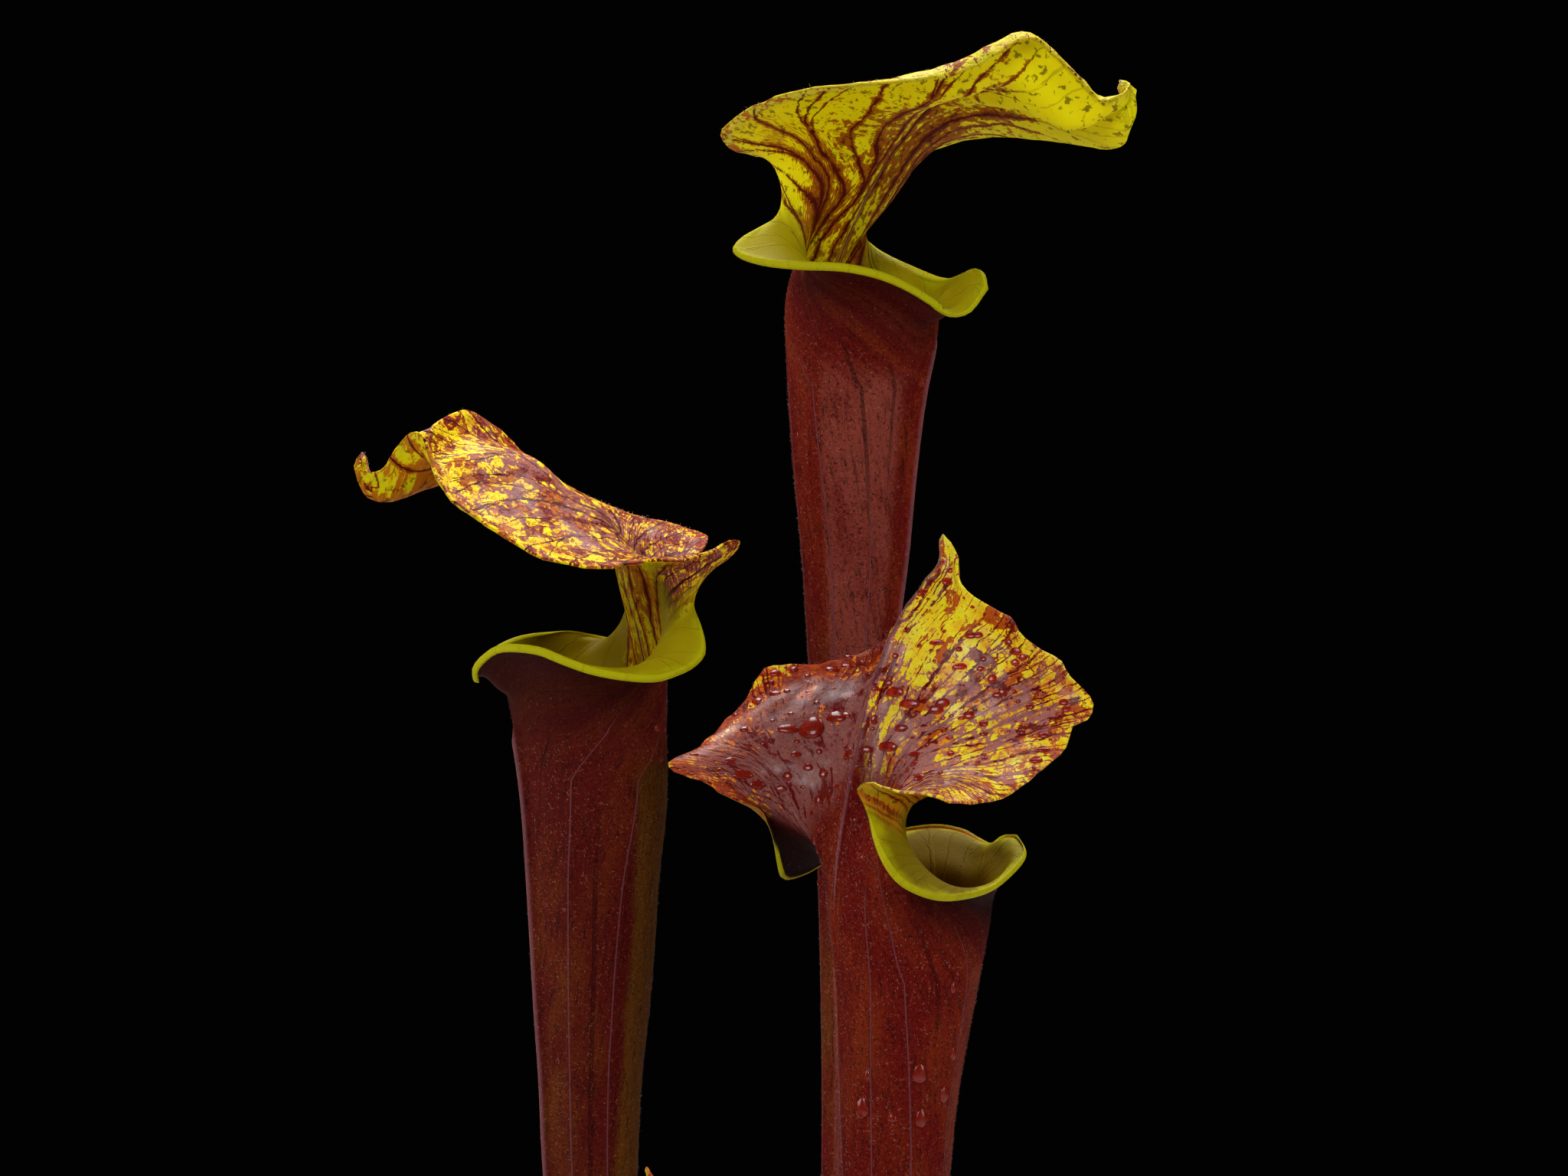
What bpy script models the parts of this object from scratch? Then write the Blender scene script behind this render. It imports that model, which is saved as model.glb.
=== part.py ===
"""A yellow pitcher plant: three full pitchers and a young one, their rhizome, the soil and a plain pot.

Sizes are in millimetres up to the point where each mesh is made, and in metres from there on. Z is up, and the
plant is seen from the minus Y side.
"""

import math

import bpy
import numpy as np

MM = 0.001

# Pot and soil
POT_HEIGHT = 128.0
POT_FOOT_RADIUS = 54.0
POT_TOP_RADIUS = 72.0
POT_WALL = 3.2
POT_FLOOR = 4.0
POT_RIM_HEIGHT = 20.0
POT_RIM_PROUD = 3.0
POT_SIDES = 48
SOIL_SIDES = 36
SOIL_TOP = 116.0
SOIL_CROWN = 3.0
FIT_GAP = 0.3

# The rhizome lies half buried, and every leaf base sits in a plain socket in it
RHIZOME_RADIUS = 9.5
RHIZOME_HALF_LENGTH = 31.0
RHIZOME_CENTRE_Z = SOIL_TOP + SOIL_CROWN - 2.0
SOCKET_FLOOR = RHIZOME_CENTRE_Z + 2.0
LEAF_FOOT_Z = SOCKET_FLOOR + FIT_GAP
LEAF_FOOT_RADIUS = 4.8
YOUNG_FOOT_RADIUS = 4.0
FOOT_STRAIGHT = 8.5
LEAF_FEET_X = {"left_pitcher": -19.0, "small_pitcher": -6.5, "tall_pitcher": 6.0, "front_pitcher": 18.5}

# How a leaf is laid out: its lines run from the foot to the rim, and are counted by u, from the middle of the back
# and the lid's tip at 0, to the middle of the front and the spout at 1
TIP_TO_NOTCH = 0.56
TIP_TO_EAR = 0.66
THROAT_DROP = 34.0
NECK_DROP = 8.0
HEM_SHARE = 0.94
SMOOTH_ROUNDS = 16
SMOOTH_STRENGTH = 0.7
SMOOTH_SPREAD = 0.2
LEAF_THICKNESS = 1.0
LEAF_THINNEST = 0.62
NOTCH_THINNER = 0.32
LIP_RADIUS = 1.25
HEM_RADIUS = 0.45
LINES_EACH_SIDE = 25
HOOD_ROWS = 14
TUBE_ROWS = 9
WING_HEIGHT = 2.2
RIB_HEIGHT = 0.5

# Each pitcher in its own axes: x towards the spout, y to its left, z up, from the middle of the mouth.
# at: the middle of the mouth in the plant's axes. yaw: where the spout points, in degrees.
# lid, ear and lip: the rim on each side, from the lid's tip, down the column's margin, and round to the spout.
# keel: the middle line of the back, from the throat up to the lid's tip, as x and z.
# tube: distance below the mouth, radius, and the sideways shift of the centre in the plant's axes, down to a little
# above the foot, which stands straight in its socket.
TALL = dict(
    at=(23.5, 35.0, 568.8),
    yaw=-25.0,
    lid={
        1: [(79, 0, 50), (82.5, 1, 48), (80.5, 4, 44), (78, 8, 40.5), (74.5, 13, 38), (66, 18, 39), (57.5, 22, 40),
            (43, 30, 42), (26, 38, 43), (8, 44, 40), (-6, 46, 36), (-17.5, 44, 34), (-22, 37, 32.5),
            (-20, 29, 29.5), (-17, 26, 26.5), (-14.5, 24.5, 23.5), (-14, 24, 20)],
        -1: [(79, 0, 50), (82.5, -1, 49), (82.5, -5, 45.5), (78.5, -9, 44), (74.5, -12, 47), (72, -15, 50.5),
             (68, -19, 55.5), (63.5, -23, 60), (58.5, -27, 59), (52.5, -32, 53.5), (45, -36, 50), (33.5, -41, 48.5),
             (15, -45, 47), (-2.5, -44, 45.5), (-16.5, -40, 41), (-26.5, -33, 36), (-26.5, -27, 33),
             (-21.5, -22, 31.5), (-17, -17, 31), (-13.5, -13, 29), (-11.5, -12, 22)],
    },
    ear={
        1: [(-14.8, 25, 17), (-17, 27.3, 14.5), (-19.8, 30, 12.8), (-22, 33, 12)],
        -1: [(-12, -14, 18), (-14.5, -18, 14), (-18.5, -24, 10), (-22.5, -28, 7), (-23.5, -31, 4.5)],
    },
    lip={
        1: [(-15.5, 35, 10), (-9, 33, 6), (3.5, 26, 1), (17.5, 17, -3.5), (25.5, 11, -3.5), (32, 7, -2),
            (37.5, 3, -2), (40, 0, -6.5)],
        -1: [(-21.5, -33, 2.5), (-15, -35, 0.5), (-1.5, -38, -1), (12, -35, -1.5), (20.5, -29, -3.5), (26, -20, -7),
             (29.5, -13, -11), (31.5, -8, -14.5), (36, -4, -13.5), (40, 0, -6.5)],
    },
    keel=[(-6, 2.5), (-3.5, 8.5), (0, 15), (5.5, 25.5), (13.5, 35.5), (17, 40.5), (22.5, 44.5), (34, 47.5),
          (49, 47), (65, 44), (76.5, 40), (82, 44.5), (79, 50)],
    tube=[(0, 24.5, 0.5, 0), (12, 22.8, 0.5, 0), (34, 18.9, 0, 0), (50, 17.2, -0.5, 0), (65, 15.7, -0.7, 0),
          (80, 14.2, -0.7, 0), (100, 12.1, -1.4, 0), (170, 7.8, -2.3, 0), (250, 6.3, -2.7, 0), (330, 5.6, -6, -9),
          (400, 5.1, -13.5, -26)],
    neck_radius=23.6,
    groove=(0.05, 0.46),
    waist=22.0,
    roll={1: 5.0, -1: 3.0},
    sag={1: 0.0, -1: 2.0},
    curl={1: 0.0, -1: 4.6},
    ribs=(0.30, 0.62, 0.78),
)

LEFT = dict(
    at=(-49.5, 0.0, 461.0),
    yaw=205.0,
    lid={
        1: [(67.5, 0, 55), (69, 1, 51.5), (66.5, 2, 49.5), (63, 4, 50.5), (62, 7, 54), (60, 9, 57.5),
            (58.5, 12, 60), (56.5, 16, 60), (56.5, 20, 55), (56, 23, 50.5), (55, 28, 45.5), (53.5, 33, 41),
            (50, 37, 37.5), (45, 40, 33.5), (37.5, 44, 28), (26.5, 46, 24.5), (12.5, 45, 24), (0.5, 42, 25.5),
            (-13, 38, 26), (-21, 34, 28), (-27.5, 30, 31.5), (-33.5, 25, 30.5), (-33, 19, 27), (-30, 15, 24),
            (-25, 12, 19.5)],
        -1: [(67.5, 0, 55), (69.5, -1, 51.5), (66, -3, 49), (59, -6, 50), (54.5, -9, 53.5), (50.5, -11, 57.5),
             (46.5, -13, 60.5), (42, -15, 62), (37, -19, 64.5), (30, -24, 67), (24.5, -28, 67.5), (20, -31, 66),
             (14.5, -34, 62.5), (8, -37, 58), (-3, -41, 50.5), (-18.5, -44, 42.5), (-32.5, -43, 38.5),
             (-40.5, -41, 36.5), (-47, -37, 35), (-48.5, -30, 33), (-42.5, -22, 28), (-35, -17.5, 24),
             (-30, -15, 19)],
    },
    ear={
        1: [(-22.5, 17, 14), (-22, 24, 8), (-21.5, 28, 3.5)],
        -1: [(-29.5, -18.5, 13.5), (-32.5, -23.5, 8), (-36, -28, 4)],
    },
    lip={
        1: [(-20, 31, 0), (-16, 33, -3), (-10.5, 35, -5), (-4.5, 36, -6.5), (6, 36, -6), (15, 33, -4),
            (21.5, 29, -1), (26, 25, 1.5), (31, 19, 2.5), (34, 13, 2), (36, 7, -1), (36.5, 3, -4), (35, 0, -7)],
        -1: [(-36, -31, 1.5), (-30.5, -33, 1), (-24, -33, 2), (-15, -31, 4), (-5, -27, 6), (6.5, -20, 6),
             (16, -14, 5), (23.5, -9, 3), (29, -5, 0.5), (33, -2, -2.5), (35, 0, -7)],
    },
    keel=[(-16, -0.5), (-14.5, 6), (-12.5, 11.5), (-11, 19), (-10.5, 27.5), (-8.5, 34), (-2.5, 38.5), (6.5, 42.5),
          (20.5, 49), (34.5, 54), (43.5, 54), (51.5, 50.5), (58, 48.5), (63, 47), (67.5, 49), (69.5, 51.5),
          (67.5, 55)],
    tube=[(0, 25, -1, 0), (11, 22.8, -0.8, 0), (18, 21.4, -0.2, 0), (32, 20, 0.5, 0), (45, 19, 0.9, 0),
          (58, 17.7, 0.5, 0), (76, 16.5, 0.5, 0), (97, 15, 0.3, 0), (115, 13.3, 0, 0), (137, 12.2, 0, 0),
          (200, 8.8, 3.5, 0), (260, 6.4, 14, 0), (305, 5.2, 26, 0)],
    neck_radius=24.0,
    groove=(0.1, 0.6),
    waist=18.0,
    roll={1: 1.5, -1: 1.0},
    sag={1: 1.0, -1: 1.0},
    curl={1: 0.0, -1: 0.0},
    ribs=(0.52, 0.68, 0.84),
)

FRONT = dict(
    at=(37.6, -25.0, 407.4),
    yaw=28.0,
    lid={
        1: [(9.5, 0, 86.5), (11.5, 2, 82.5), (10, 5, 77), (8.5, 11, 71), (7.5, 18, 65.5), (7, 24, 60.5),
            (5.5, 28, 56.5), (1.5, 31, 54), (-4.5, 34, 51.5), (-11.5, 37, 51), (-17, 40, 51), (-22, 42, 50),
            (-25, 43, 46), (-29.5, 43, 39.5), (-35, 42, 35), (-44.5, 38, 28.5), (-51.5, 34, 26.5),
            (-58.5, 30, 24.5), (-57, 28, 22), (-51.5, 26, 20), (-45.5, 23, 17), (-41, 20, 14), (-37, 18, 12.5)],
        -1: [(9.5, 0, 86.5), (11, -1, 85), (12, -3, 82), (11, -7, 75.5), (10.5, -12, 71), (14.5, -20, 66.5),
             (17.5, -24, 64), (18.5, -27, 60), (22, -30, 56), (27, -34, 52.5), (28.5, -36, 48.5), (32, -38, 44.5),
             (33.5, -40, 41), (31.5, -41, 37), (27, -41, 35.5), (23.5, -42, 29), (17, -43, 24.5), (11, -44, 20.5),
             (3.5, -44, 16.5), (-3.5, -43, 15), (-10.5, -41, 15), (-17, -38, 17), (-21, -35, 18),
             (-24.5, -30, 19.5), (-26.5, -24, 20.5), (-26.5, -18, 18.5)],
    },
    ear={
        1: [(-32, 22, 8), (-27.5, 27, 1.5), (-24.5, 31, -3.5)],
        -1: [(-26, -20, 15), (-26.5, -24, 11), (-27.5, -29, 5.5), (-27, -33, 0)],
    },
    lip={
        1: [(-21.5, 34, -7.5), (-15, 36, -6.5), (-3.5, 37, -0.5), (5.5, 36, 3), (14, 33, 4.5), (18.5, 31, 5.5),
            (24.5, 28, 6), (29.5, 23, 4.5), (31, 18, 2), (31, 10, 0.5), (32.5, 5, 3), (33.5, 0, 3.5)],
        -1: [(-24, -36, -5.5), (-19, -37, -8.5), (-11.5, -36, -10.5), (-2.5, -33, -10.5), (9.5, -27, -9),
             (22, -18, -4.5), (29.5, -11, -1), (32.5, -5, 1), (33.5, 0, 3.5)],
    },
    keel=[(-23, -16.5), (-22.5, -7), (-22, 0.5), (-20.5, 10.5), (-18, 20.5), (-13.5, 39.5), (-9, 51.5),
          (-1.5, 65.5), (6, 74.5), (10.5, 82.5), (9.5, 86.5)],
    tube=[(0, 23, 0, 0), (14, 21.8, -0.4, 0), (26, 20, -0.2, 0), (36, 18.7, -1.1, 0), (52, 16.9, -2.4, 0),
          (68, 15.2, -3.4, 0), (84, 14.1, -3.9, 0), (150, 9.4, -7, 3), (210, 6.4, -12.5, 12), (255, 5.2, -17.5, 21)],
    neck_radius=22.4,
    groove=(0.1, 0.6),
    waist=15.0,
    roll={1: 3.0, -1: 8.0},
    sag={1: 1.0, -1: 2.0},
    curl={1: 0.0, -1: 0.0},
    ribs=(0.22, 0.36, 0.60),
)

# The young pitcher is a smaller leaf of the left one's form
YOUNG_SIZE = 0.4
YOUNG_AT = (-19.3, -30.0, 296.5)
YOUNG_YAW = 240.0
YOUNG_LINES_EACH_SIDE = 14
YOUNG_HOOD_ROWS = 10
YOUNG_SOFT = 3.0

LEAF_RED = (0.16, 0.03, 0.02)
YOUNG_RED = (0.34, 0.10, 0.04)
RHIZOME_BROWN = (0.10, 0.05, 0.03)
SOIL_BROWN = (0.04, 0.028, 0.02)
POT_CLAY = (0.35, 0.13, 0.07)


def curve(stations, points, at):
    """A smooth curve through the points, read at the places asked for."""
    s = np.asarray(stations, float)
    p = np.asarray(points, float)
    d = np.diff(s)
    slope = np.diff(p, axis=0) / d[:, None]
    m = np.empty_like(p)
    m[0], m[-1] = slope[0], slope[-1]
    m[1:-1] = (slope[:-1] * d[1:, None] + slope[1:] * d[:-1, None]) / (d[:-1] + d[1:])[:, None]
    at = np.clip(np.asarray(at, float), s[0], s[-1])
    k = np.clip(np.searchsorted(s, at, side="right") - 1, 0, len(d) - 1)
    t = ((at - s[k]) / d[k])[:, None]
    h = d[k][:, None]
    first = (2 * t**3 - 3 * t**2 + 1) * p[k] + (t**3 - 2 * t**2 + t) * h * m[k]
    second = (3 * t**2 - 2 * t**3) * p[k + 1] + (t**3 - t**2) * h * m[k + 1]
    return first + second


def run_lengths(points):
    steps = np.linalg.norm(np.diff(points, axis=0), axis=1)
    return np.concatenate([[0], np.cumsum(steps)])


def ease(x):
    x = np.clip(x, 0, 1)
    return x * x * (3 - 2 * x)


def rim_line(leaf, side, us):
    """The rim of one side, with its points spread half by length and half by how closely they were read."""
    lid, ear, lip = leaf["lid"][side], leaf["ear"][side], leaf["lip"][side]
    spans = [np.array(lid, float), np.array([lid[-1]] + ear, float), np.array([ear[-1]] + lip, float)]
    limits = [0.0, TIP_TO_NOTCH, TIP_TO_EAR, 1.0]
    stations = [0.0]
    for span, low, high in zip(spans, limits[:-1], limits[1:]):
        run = run_lengths(span)
        share = 0.5 * run / run[-1] + 0.5 * np.arange(len(run)) / (len(run) - 1)
        stations.extend(low + (high - low) * share[1:])
    return curve(stations, np.array(lid + ear + lip, float), us)


def line_angles(us):
    """The angle round the tube that each line rises from, from 0 at the back to pi at the front."""
    return curve([0, TIP_TO_NOTCH, TIP_TO_EAR, 1], np.radians([[0], [58], [82], [180]]), us)[:, 0]


def tube_at(leaf, drops):
    table = np.array(leaf["tube"], float)
    out = curve(table[:, 0], table[:, 1:], np.atleast_1d(drops))
    return out[:, 0], out[:, 1:]


def turned(leaf, points):
    """From the leaf's own axes to the plant's axes."""
    c, s = math.cos(math.radians(leaf["yaw"])), math.sin(math.radians(leaf["yaw"]))
    x, y, z = points[..., 0], points[..., 1], points[..., 2]
    ax, ay, az = leaf["at"]
    return np.stack([ax + x * c - y * s, ay + x * s + y * c, az + z], -1)


def ring(leaf, drop, circle):
    """One round section of the tube, in the leaf's own axes."""
    radius, shift = tube_at(leaf, drop)
    c, s = math.cos(math.radians(leaf["yaw"])), math.sin(math.radians(leaf["yaw"]))
    sx, sy = shift[0]
    middle = np.array([sx * c + sy * s, -sx * s + sy * c, -drop])
    return circle * radius[0] + middle


def hood(leaf, side, us, rows):
    """Throat, flare, column and lid of one side: each line runs through a few guides up to the rim."""
    rim = rim_line(leaf, side, us)
    angle = line_angles(us)
    circle = np.stack([-np.cos(angle), side * np.sin(angle), 0 * angle], 1)
    size = leaf.get("size", 1.0)
    throat_drop, neck_drop = THROAT_DROP * size, NECK_DROP * size
    low = ring(leaf, throat_drop + 14 * size, circle)
    throat = ring(leaf, throat_drop, circle)
    upper = ring(leaf, neck_drop + 9 * size, circle)
    neck = circle * leaf["neck_radius"] + np.array([0, 0, -neck_drop])
    # Where the lip runs low or high, the flare below it starts lower or higher too
    follow = ease((us - TIP_TO_NOTCH) / (TIP_TO_EAR - TIP_TO_NOTCH)) * np.minimum(rim[:, 2], 8 * size) * 0.6
    neck[:, 2] += follow
    upper[:, 2] += follow * 0.8

    keel_xz = np.array(leaf["keel"], float)
    keel = np.stack([keel_xz[:, 0], 0 * keel_xz[:, 0], keel_xz[:, 1]], 1)
    keel = np.concatenate([throat[:1], keel], 0)
    run = run_lengths(keel)
    fine = curve(run, keel, np.linspace(0, run[-1], 500))
    at_neck = int(np.argmax(fine[:, 2] > -neck_drop))
    at_upper = int(np.argmax(fine[:, 2] > -neck_drop - 9 * size))
    at_waist = int(np.argmax(fine[:, 2] > leaf["waist"]))

    # The back wall leaves the tube and leans forward into the column
    start, end = leaf["groove"]
    back = 1 - ease((us - start) / (end - start))
    neck[:, 0] += (fine[at_neck, 0] - neck[0, 0]) * back
    upper[:, 0] += (fine[at_upper, 0] - upper[0, 0]) * back

    # Section at the waist of the column, from the crease in the middle to the rolled margin
    a = np.clip(us / TIP_TO_NOTCH, 0, 1)
    notch_line = int(np.argmin(np.abs(us - TIP_TO_NOTCH)))
    hem = neck[notch_line] + (rim[notch_line] - neck[notch_line]) * HEM_SHARE
    crease = fine[at_waist]
    turn = a * math.pi / 2
    waist = np.empty_like(rim)
    waist[:, 0] = crease[0] + (hem[0] - crease[0]) * (1 - np.cos(turn)) ** 1.1
    waist[:, 0] += leaf["roll"][side] * np.sin(np.pi * a**0.9)
    waist[:, 1] = hem[1] * np.sin(turn)
    waist[:, 2] = crease[2] + (hem[2] - crease[2]) * a**1.6
    swing = ease((us - TIP_TO_NOTCH) / (TIP_TO_EAR - TIP_TO_NOTCH))[:, None]
    edge = neck + (rim - neck) * HEM_SHARE
    flare_start = neck + (rim - neck) * np.array([0.42, 0.42, 0.62])
    waist = np.where(us[:, None] <= TIP_TO_NOTCH, waist, edge * (1 - swing) + flare_start * swing)

    # The lid spreads from the column: each line leaves along the keel and ends square to the rim
    rise = fine[at_waist + 8] - fine[at_waist - 8]
    rise = rise / np.linalg.norm(rise)
    hub = fine[min(at_waist + 60, 499)]
    outward = rim - hub
    outward /= np.linalg.norm(outward, axis=1)[:, None]
    reach = np.linalg.norm(rim - waist, axis=1)[:, None]
    first = waist + rise * reach * 0.45
    second = rim - outward * reach * 0.33
    rest = fine[at_waist:]
    near_keel = (1 - a**1.3)[:, None] ** 1.5
    to_lip = ease((us - TIP_TO_NOTCH * 0.9) / (TIP_TO_NOTCH * 0.22))[:, None]
    belly = np.sin(np.pi * a**0.8)[:, None]
    guides = [low, throat, upper, neck, waist]
    for t in (0.2, 0.4, 0.6, 0.8, 0.9):
        lid = (1 - t) ** 3 * waist + 3 * (1 - t) ** 2 * t * first + 3 * (1 - t) * t * t * second + t**3 * rim
        k = min(int(t * (len(rest) - 1)), len(rest) - 2)
        lid = lid + (rest[k] - lid[0]) * near_keel
        along = rest[min(k + 5, len(rest) - 1)] - rest[max(k - 5, 0)]
        along = along / np.linalg.norm(along)
        under = np.array([along[2], 0, -along[0]])
        lid = lid + under * belly * leaf["sag"][side] * math.sin(math.pi * min(1, t + 0.15)) ** 0.8
        if t > 0.85 and leaf["curl"][side] > 0:
            bent = rim + (guides[-1] - rim) * 0.45
            bent[:, 2] = rim[:, 2] + leaf["curl"][side] * np.sin(np.pi * a**0.9)
            hold = np.clip(np.sin(np.pi * a**0.9) * 2, 0, 1)[:, None]
            lid = lid * (1 - hold) + bent * hold
        flare = waist + (rim - waist) * t
        flare[:, 2] += math.sin(math.pi * t) * 1.5 * size
        guides.append(lid * (1 - to_lip) + flare * to_lip)
    guides.append(rim)
    guides = np.array(guides)
    lines = []
    for k in range(len(us)):
        path = guides[:, k]
        run = run_lengths(path)
        lines.append(curve(run, path, run[1] + (run[-1] - run[1]) * rows))
    return np.array(lines)


def tube_drops(leaf, tube_rows):
    """Heights of the tube's rows, as distances below the mouth: the foot stands straight, then they are even."""
    foot = leaf["tube"][-1][0]
    above = np.linspace(foot - FOOT_STRAIGHT, THROAT_DROP * leaf.get("size", 1.0), tube_rows)
    return np.concatenate([[foot], above])


def leaf_sheet(leaf, lines_each_side, hood_rows, tube_rows):
    """The middle surface of the whole leaf, as [line, row], with the u of each line and its side."""
    us = np.linspace(0, 1, lines_each_side + 1)
    rows = np.linspace(0, 1, hood_rows)
    left, right = hood(leaf, 1, us, rows), hood(leaf, -1, us, rows)
    top = turned(leaf, np.concatenate([left, right[::-1][1:-1]], 0))
    drops = tube_drops(leaf, tube_rows)[:-1]
    radius, shift = tube_at(leaf, drops)
    angle = line_angles(us)
    angle = np.concatenate([angle, 2 * np.pi - angle[::-1][1:-1]])
    x = -radius[None] * np.cos(angle)[:, None]
    y = radius[None] * np.sin(angle)[:, None]
    low = turned(leaf, np.stack([x, y, -drops[None] + 0 * x], -1))
    low[..., :2] += shift[None]
    all_us = np.concatenate([us, us[::-1][1:-1]])
    return np.concatenate([low, smoothed(top, all_us, leaf.get("soft", 1.0))], 1), all_us


def smoothed(top, all_us, soft):
    """The hood, with the tight folds beside the notch eased out, and the rim and the throat held where they are."""
    weight = SMOOTH_STRENGTH * np.exp(-((all_us - TIP_TO_NOTCH) / SMOOTH_SPREAD) ** 2)[:, None, None]
    # A finer sheet needs more rounds for the same result
    rounds = soft * SMOOTH_ROUNDS * (len(all_us) / (2 * LINES_EACH_SIDE)) * (top.shape[1] / HOOD_ROWS)
    for _ in range(round(rounds)):
        across = (np.roll(top, 1, 0) + np.roll(top, -1, 0))[:, 1:-1]
        along = top[:, 2:] + top[:, :-2]
        top[:, 1:-1] += ((across + along) / 4 - top[:, 1:-1]) * weight
    return top


def sheet_normals(sheet):
    along = np.roll(sheet, -1, axis=0) - np.roll(sheet, 1, axis=0)
    up = np.empty_like(sheet)
    up[:, 1:-1] = sheet[:, 2:] - sheet[:, :-2]
    up[:, 0] = sheet[:, 1] - sheet[:, 0]
    up[:, -1] = sheet[:, -1] - sheet[:, -2]
    normal = np.cross(up, along)
    normal /= np.linalg.norm(normal, axis=-1, keepdims=True) + 1e-12
    return normal


def leaf_solid(leaf, lines_each_side, hood_rows, tube_rows):
    """A closed shell: outer face, rounded rim and the hollow inside, which ends where the tube gets slim."""
    size = leaf.get("size", 1.0)
    sheet, all_us = leaf_sheet(leaf, lines_each_side, hood_rows, tube_rows)
    normal = sheet_normals(sheet)
    count, depth = sheet.shape[:2]
    # The leaf is thinner where it folds tightly at the notch
    near_notch = np.exp(-((all_us - TIP_TO_NOTCH) / 0.09) ** 2)[:, None] * (np.arange(depth) >= tube_rows)
    half = LEAF_THICKNESS * max(size, 0.8) / 2 * (1 - NOTCH_THINNER * near_notch)[..., None]
    half = np.maximum(half, LEAF_THINNEST / 2)
    radius, _ = tube_at(leaf, tube_drops(leaf, tube_rows))
    first_hollow = 1 + int(np.argmax(radius[1:-1] > 5.6))

    outer = sheet + normal * half
    inner = sheet - normal * half
    # The front wing and the main ribs stand a little proud of the tube
    tube_end = tube_rows + 2
    low_fade = ease((np.arange(tube_end) - 1) / 2) * ease((tube_end - np.arange(tube_end)) / 4)
    wing_line = lines_each_side
    outer[wing_line, :tube_end] += normal[wing_line, :tube_end] * (WING_HEIGHT * size * low_fade)[:, None]
    for u in leaf["ribs"]:
        for line in (round(u * lines_each_side), count - round(u * lines_each_side)):
            outer[line, :tube_end] += normal[line, :tube_end] * (RIB_HEIGHT * size * low_fade)[:, None]

    # The rim is a small round bead, thick at the mouth and thin round the lid
    share = ease((all_us - TIP_TO_NOTCH - 0.01) / (TIP_TO_EAR - TIP_TO_NOTCH))
    hem, lip = HEM_RADIUS * max(size, 0.75), LIP_RADIUS * max(size, 0.5)
    bead = np.maximum((hem + (lip - hem) * share) * (1 - NOTCH_THINNER * near_notch[:, -1]), LEAF_THINNEST / 2)
    out = sheet[:, -1] - sheet[:, -2]
    out /= np.linalg.norm(out, axis=1, keepdims=True)
    for _ in range(2):
        out = (np.roll(out, 1, 0) + 2 * out + np.roll(out, -1, 0)) / 4
        out /= np.linalg.norm(out, axis=1, keepdims=True)
    top_normal = normal[:, -1] - out * np.sum(normal[:, -1] * out, axis=1, keepdims=True)
    top_normal /= np.linalg.norm(top_normal, axis=1, keepdims=True)
    centre = sheet[:, -1] - out * bead[:, None]
    beads = []
    for degrees in (70, 25, -25, -70):
        c, s = math.cos(math.radians(degrees)), math.sin(math.radians(degrees))
        beads.append(centre + (out * c + top_normal * s) * bead[:, None])

    loops = [outer[:, k] for k in range(depth - 1)]
    loops += beads
    loops += [inner[:, k] for k in range(depth - 2, first_hollow - 1, -1)]
    points = np.concatenate(loops, 0)
    faces = []
    for k in range(len(loops) - 1):
        on_outer = k < depth - 2
        for i in range(count):
            j = (i + 1) % count
            a, b = k * count + i, k * count + j
            c, d = a + count, b + count
            # Both faces of the sheet are split along the same diagonal
            if on_outer or k < depth + 2:
                faces += [(a, c, d), (a, d, b)]
            else:
                faces += [(a, c, b), (c, d, b)]
    foot, floor = len(points), len(points) + 1
    floor_point = loops[-1].mean(axis=0)
    points = np.concatenate([points, [loops[0].mean(axis=0)], [floor_point]], 0)
    last = (len(loops) - 1) * count
    for i in range(count):
        j = (i + 1) % count
        faces.append((foot, i, j))
        faces.append((floor, last + j, last + i))
    return points, faces


def young_leaf():
    """The young pitcher: the left one's form, made small, on its own foot."""
    s = YOUNG_SIZE
    leaf = dict(LEFT)
    leaf["size"] = s
    leaf["soft"] = YOUNG_SOFT
    leaf["at"] = YOUNG_AT
    leaf["yaw"] = YOUNG_YAW
    for part in ("lid", "ear", "lip"):
        leaf[part] = {side: [(x * s, y * s, z * s) for x, y, z in LEFT[part][side]] for side in (1, -1)}
    leaf["lid"][1][-1] = (-11.5, 6.5, 8.3)
    leaf["keel"] = [(x * s, z * s) for x, z in LEFT["keel"]]
    leaf["tube"] = [(0, 10, 0, 0), (7, 8.9, 0, 0), (14, 8, 0, 0), (30, 7.2, 0, 0), (60, 6.2, 1, 2),
                    (110, 5, 7, 16), (152, 4.2, 12.3, 28.8)]
    leaf["neck_radius"] = LEFT["neck_radius"] * s
    leaf["waist"] = LEFT["waist"] * s
    leaf["roll"] = {side: LEFT["roll"][side] * s for side in (1, -1)}
    leaf["sag"] = {side: LEFT["sag"][side] * s for side in (1, -1)}
    leaf["ribs"] = ()
    return leaf


def rooted(leaf, name, foot_radius):
    """The leaf with its tube carried down to its own socket in the rhizome."""
    leaf = dict(leaf)
    ax, ay, az = leaf["at"]
    drop = az - LEAF_FOOT_Z
    dx, dy = LEAF_FEET_X[name] - ax, -ay
    leaf["tube"] = leaf["tube"] + [(drop - FOOT_STRAIGHT, foot_radius, dx, dy), (drop, foot_radius, dx, dy)]
    return leaf


def make_material(name, colour, roughness):
    material = bpy.data.materials.new(name)
    material.use_nodes = True
    shader = material.node_tree.nodes["Principled BSDF"]
    shader.inputs["Base Color"].default_value = (*colour, 1.0)
    shader.inputs["Roughness"].default_value = roughness
    return material


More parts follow.
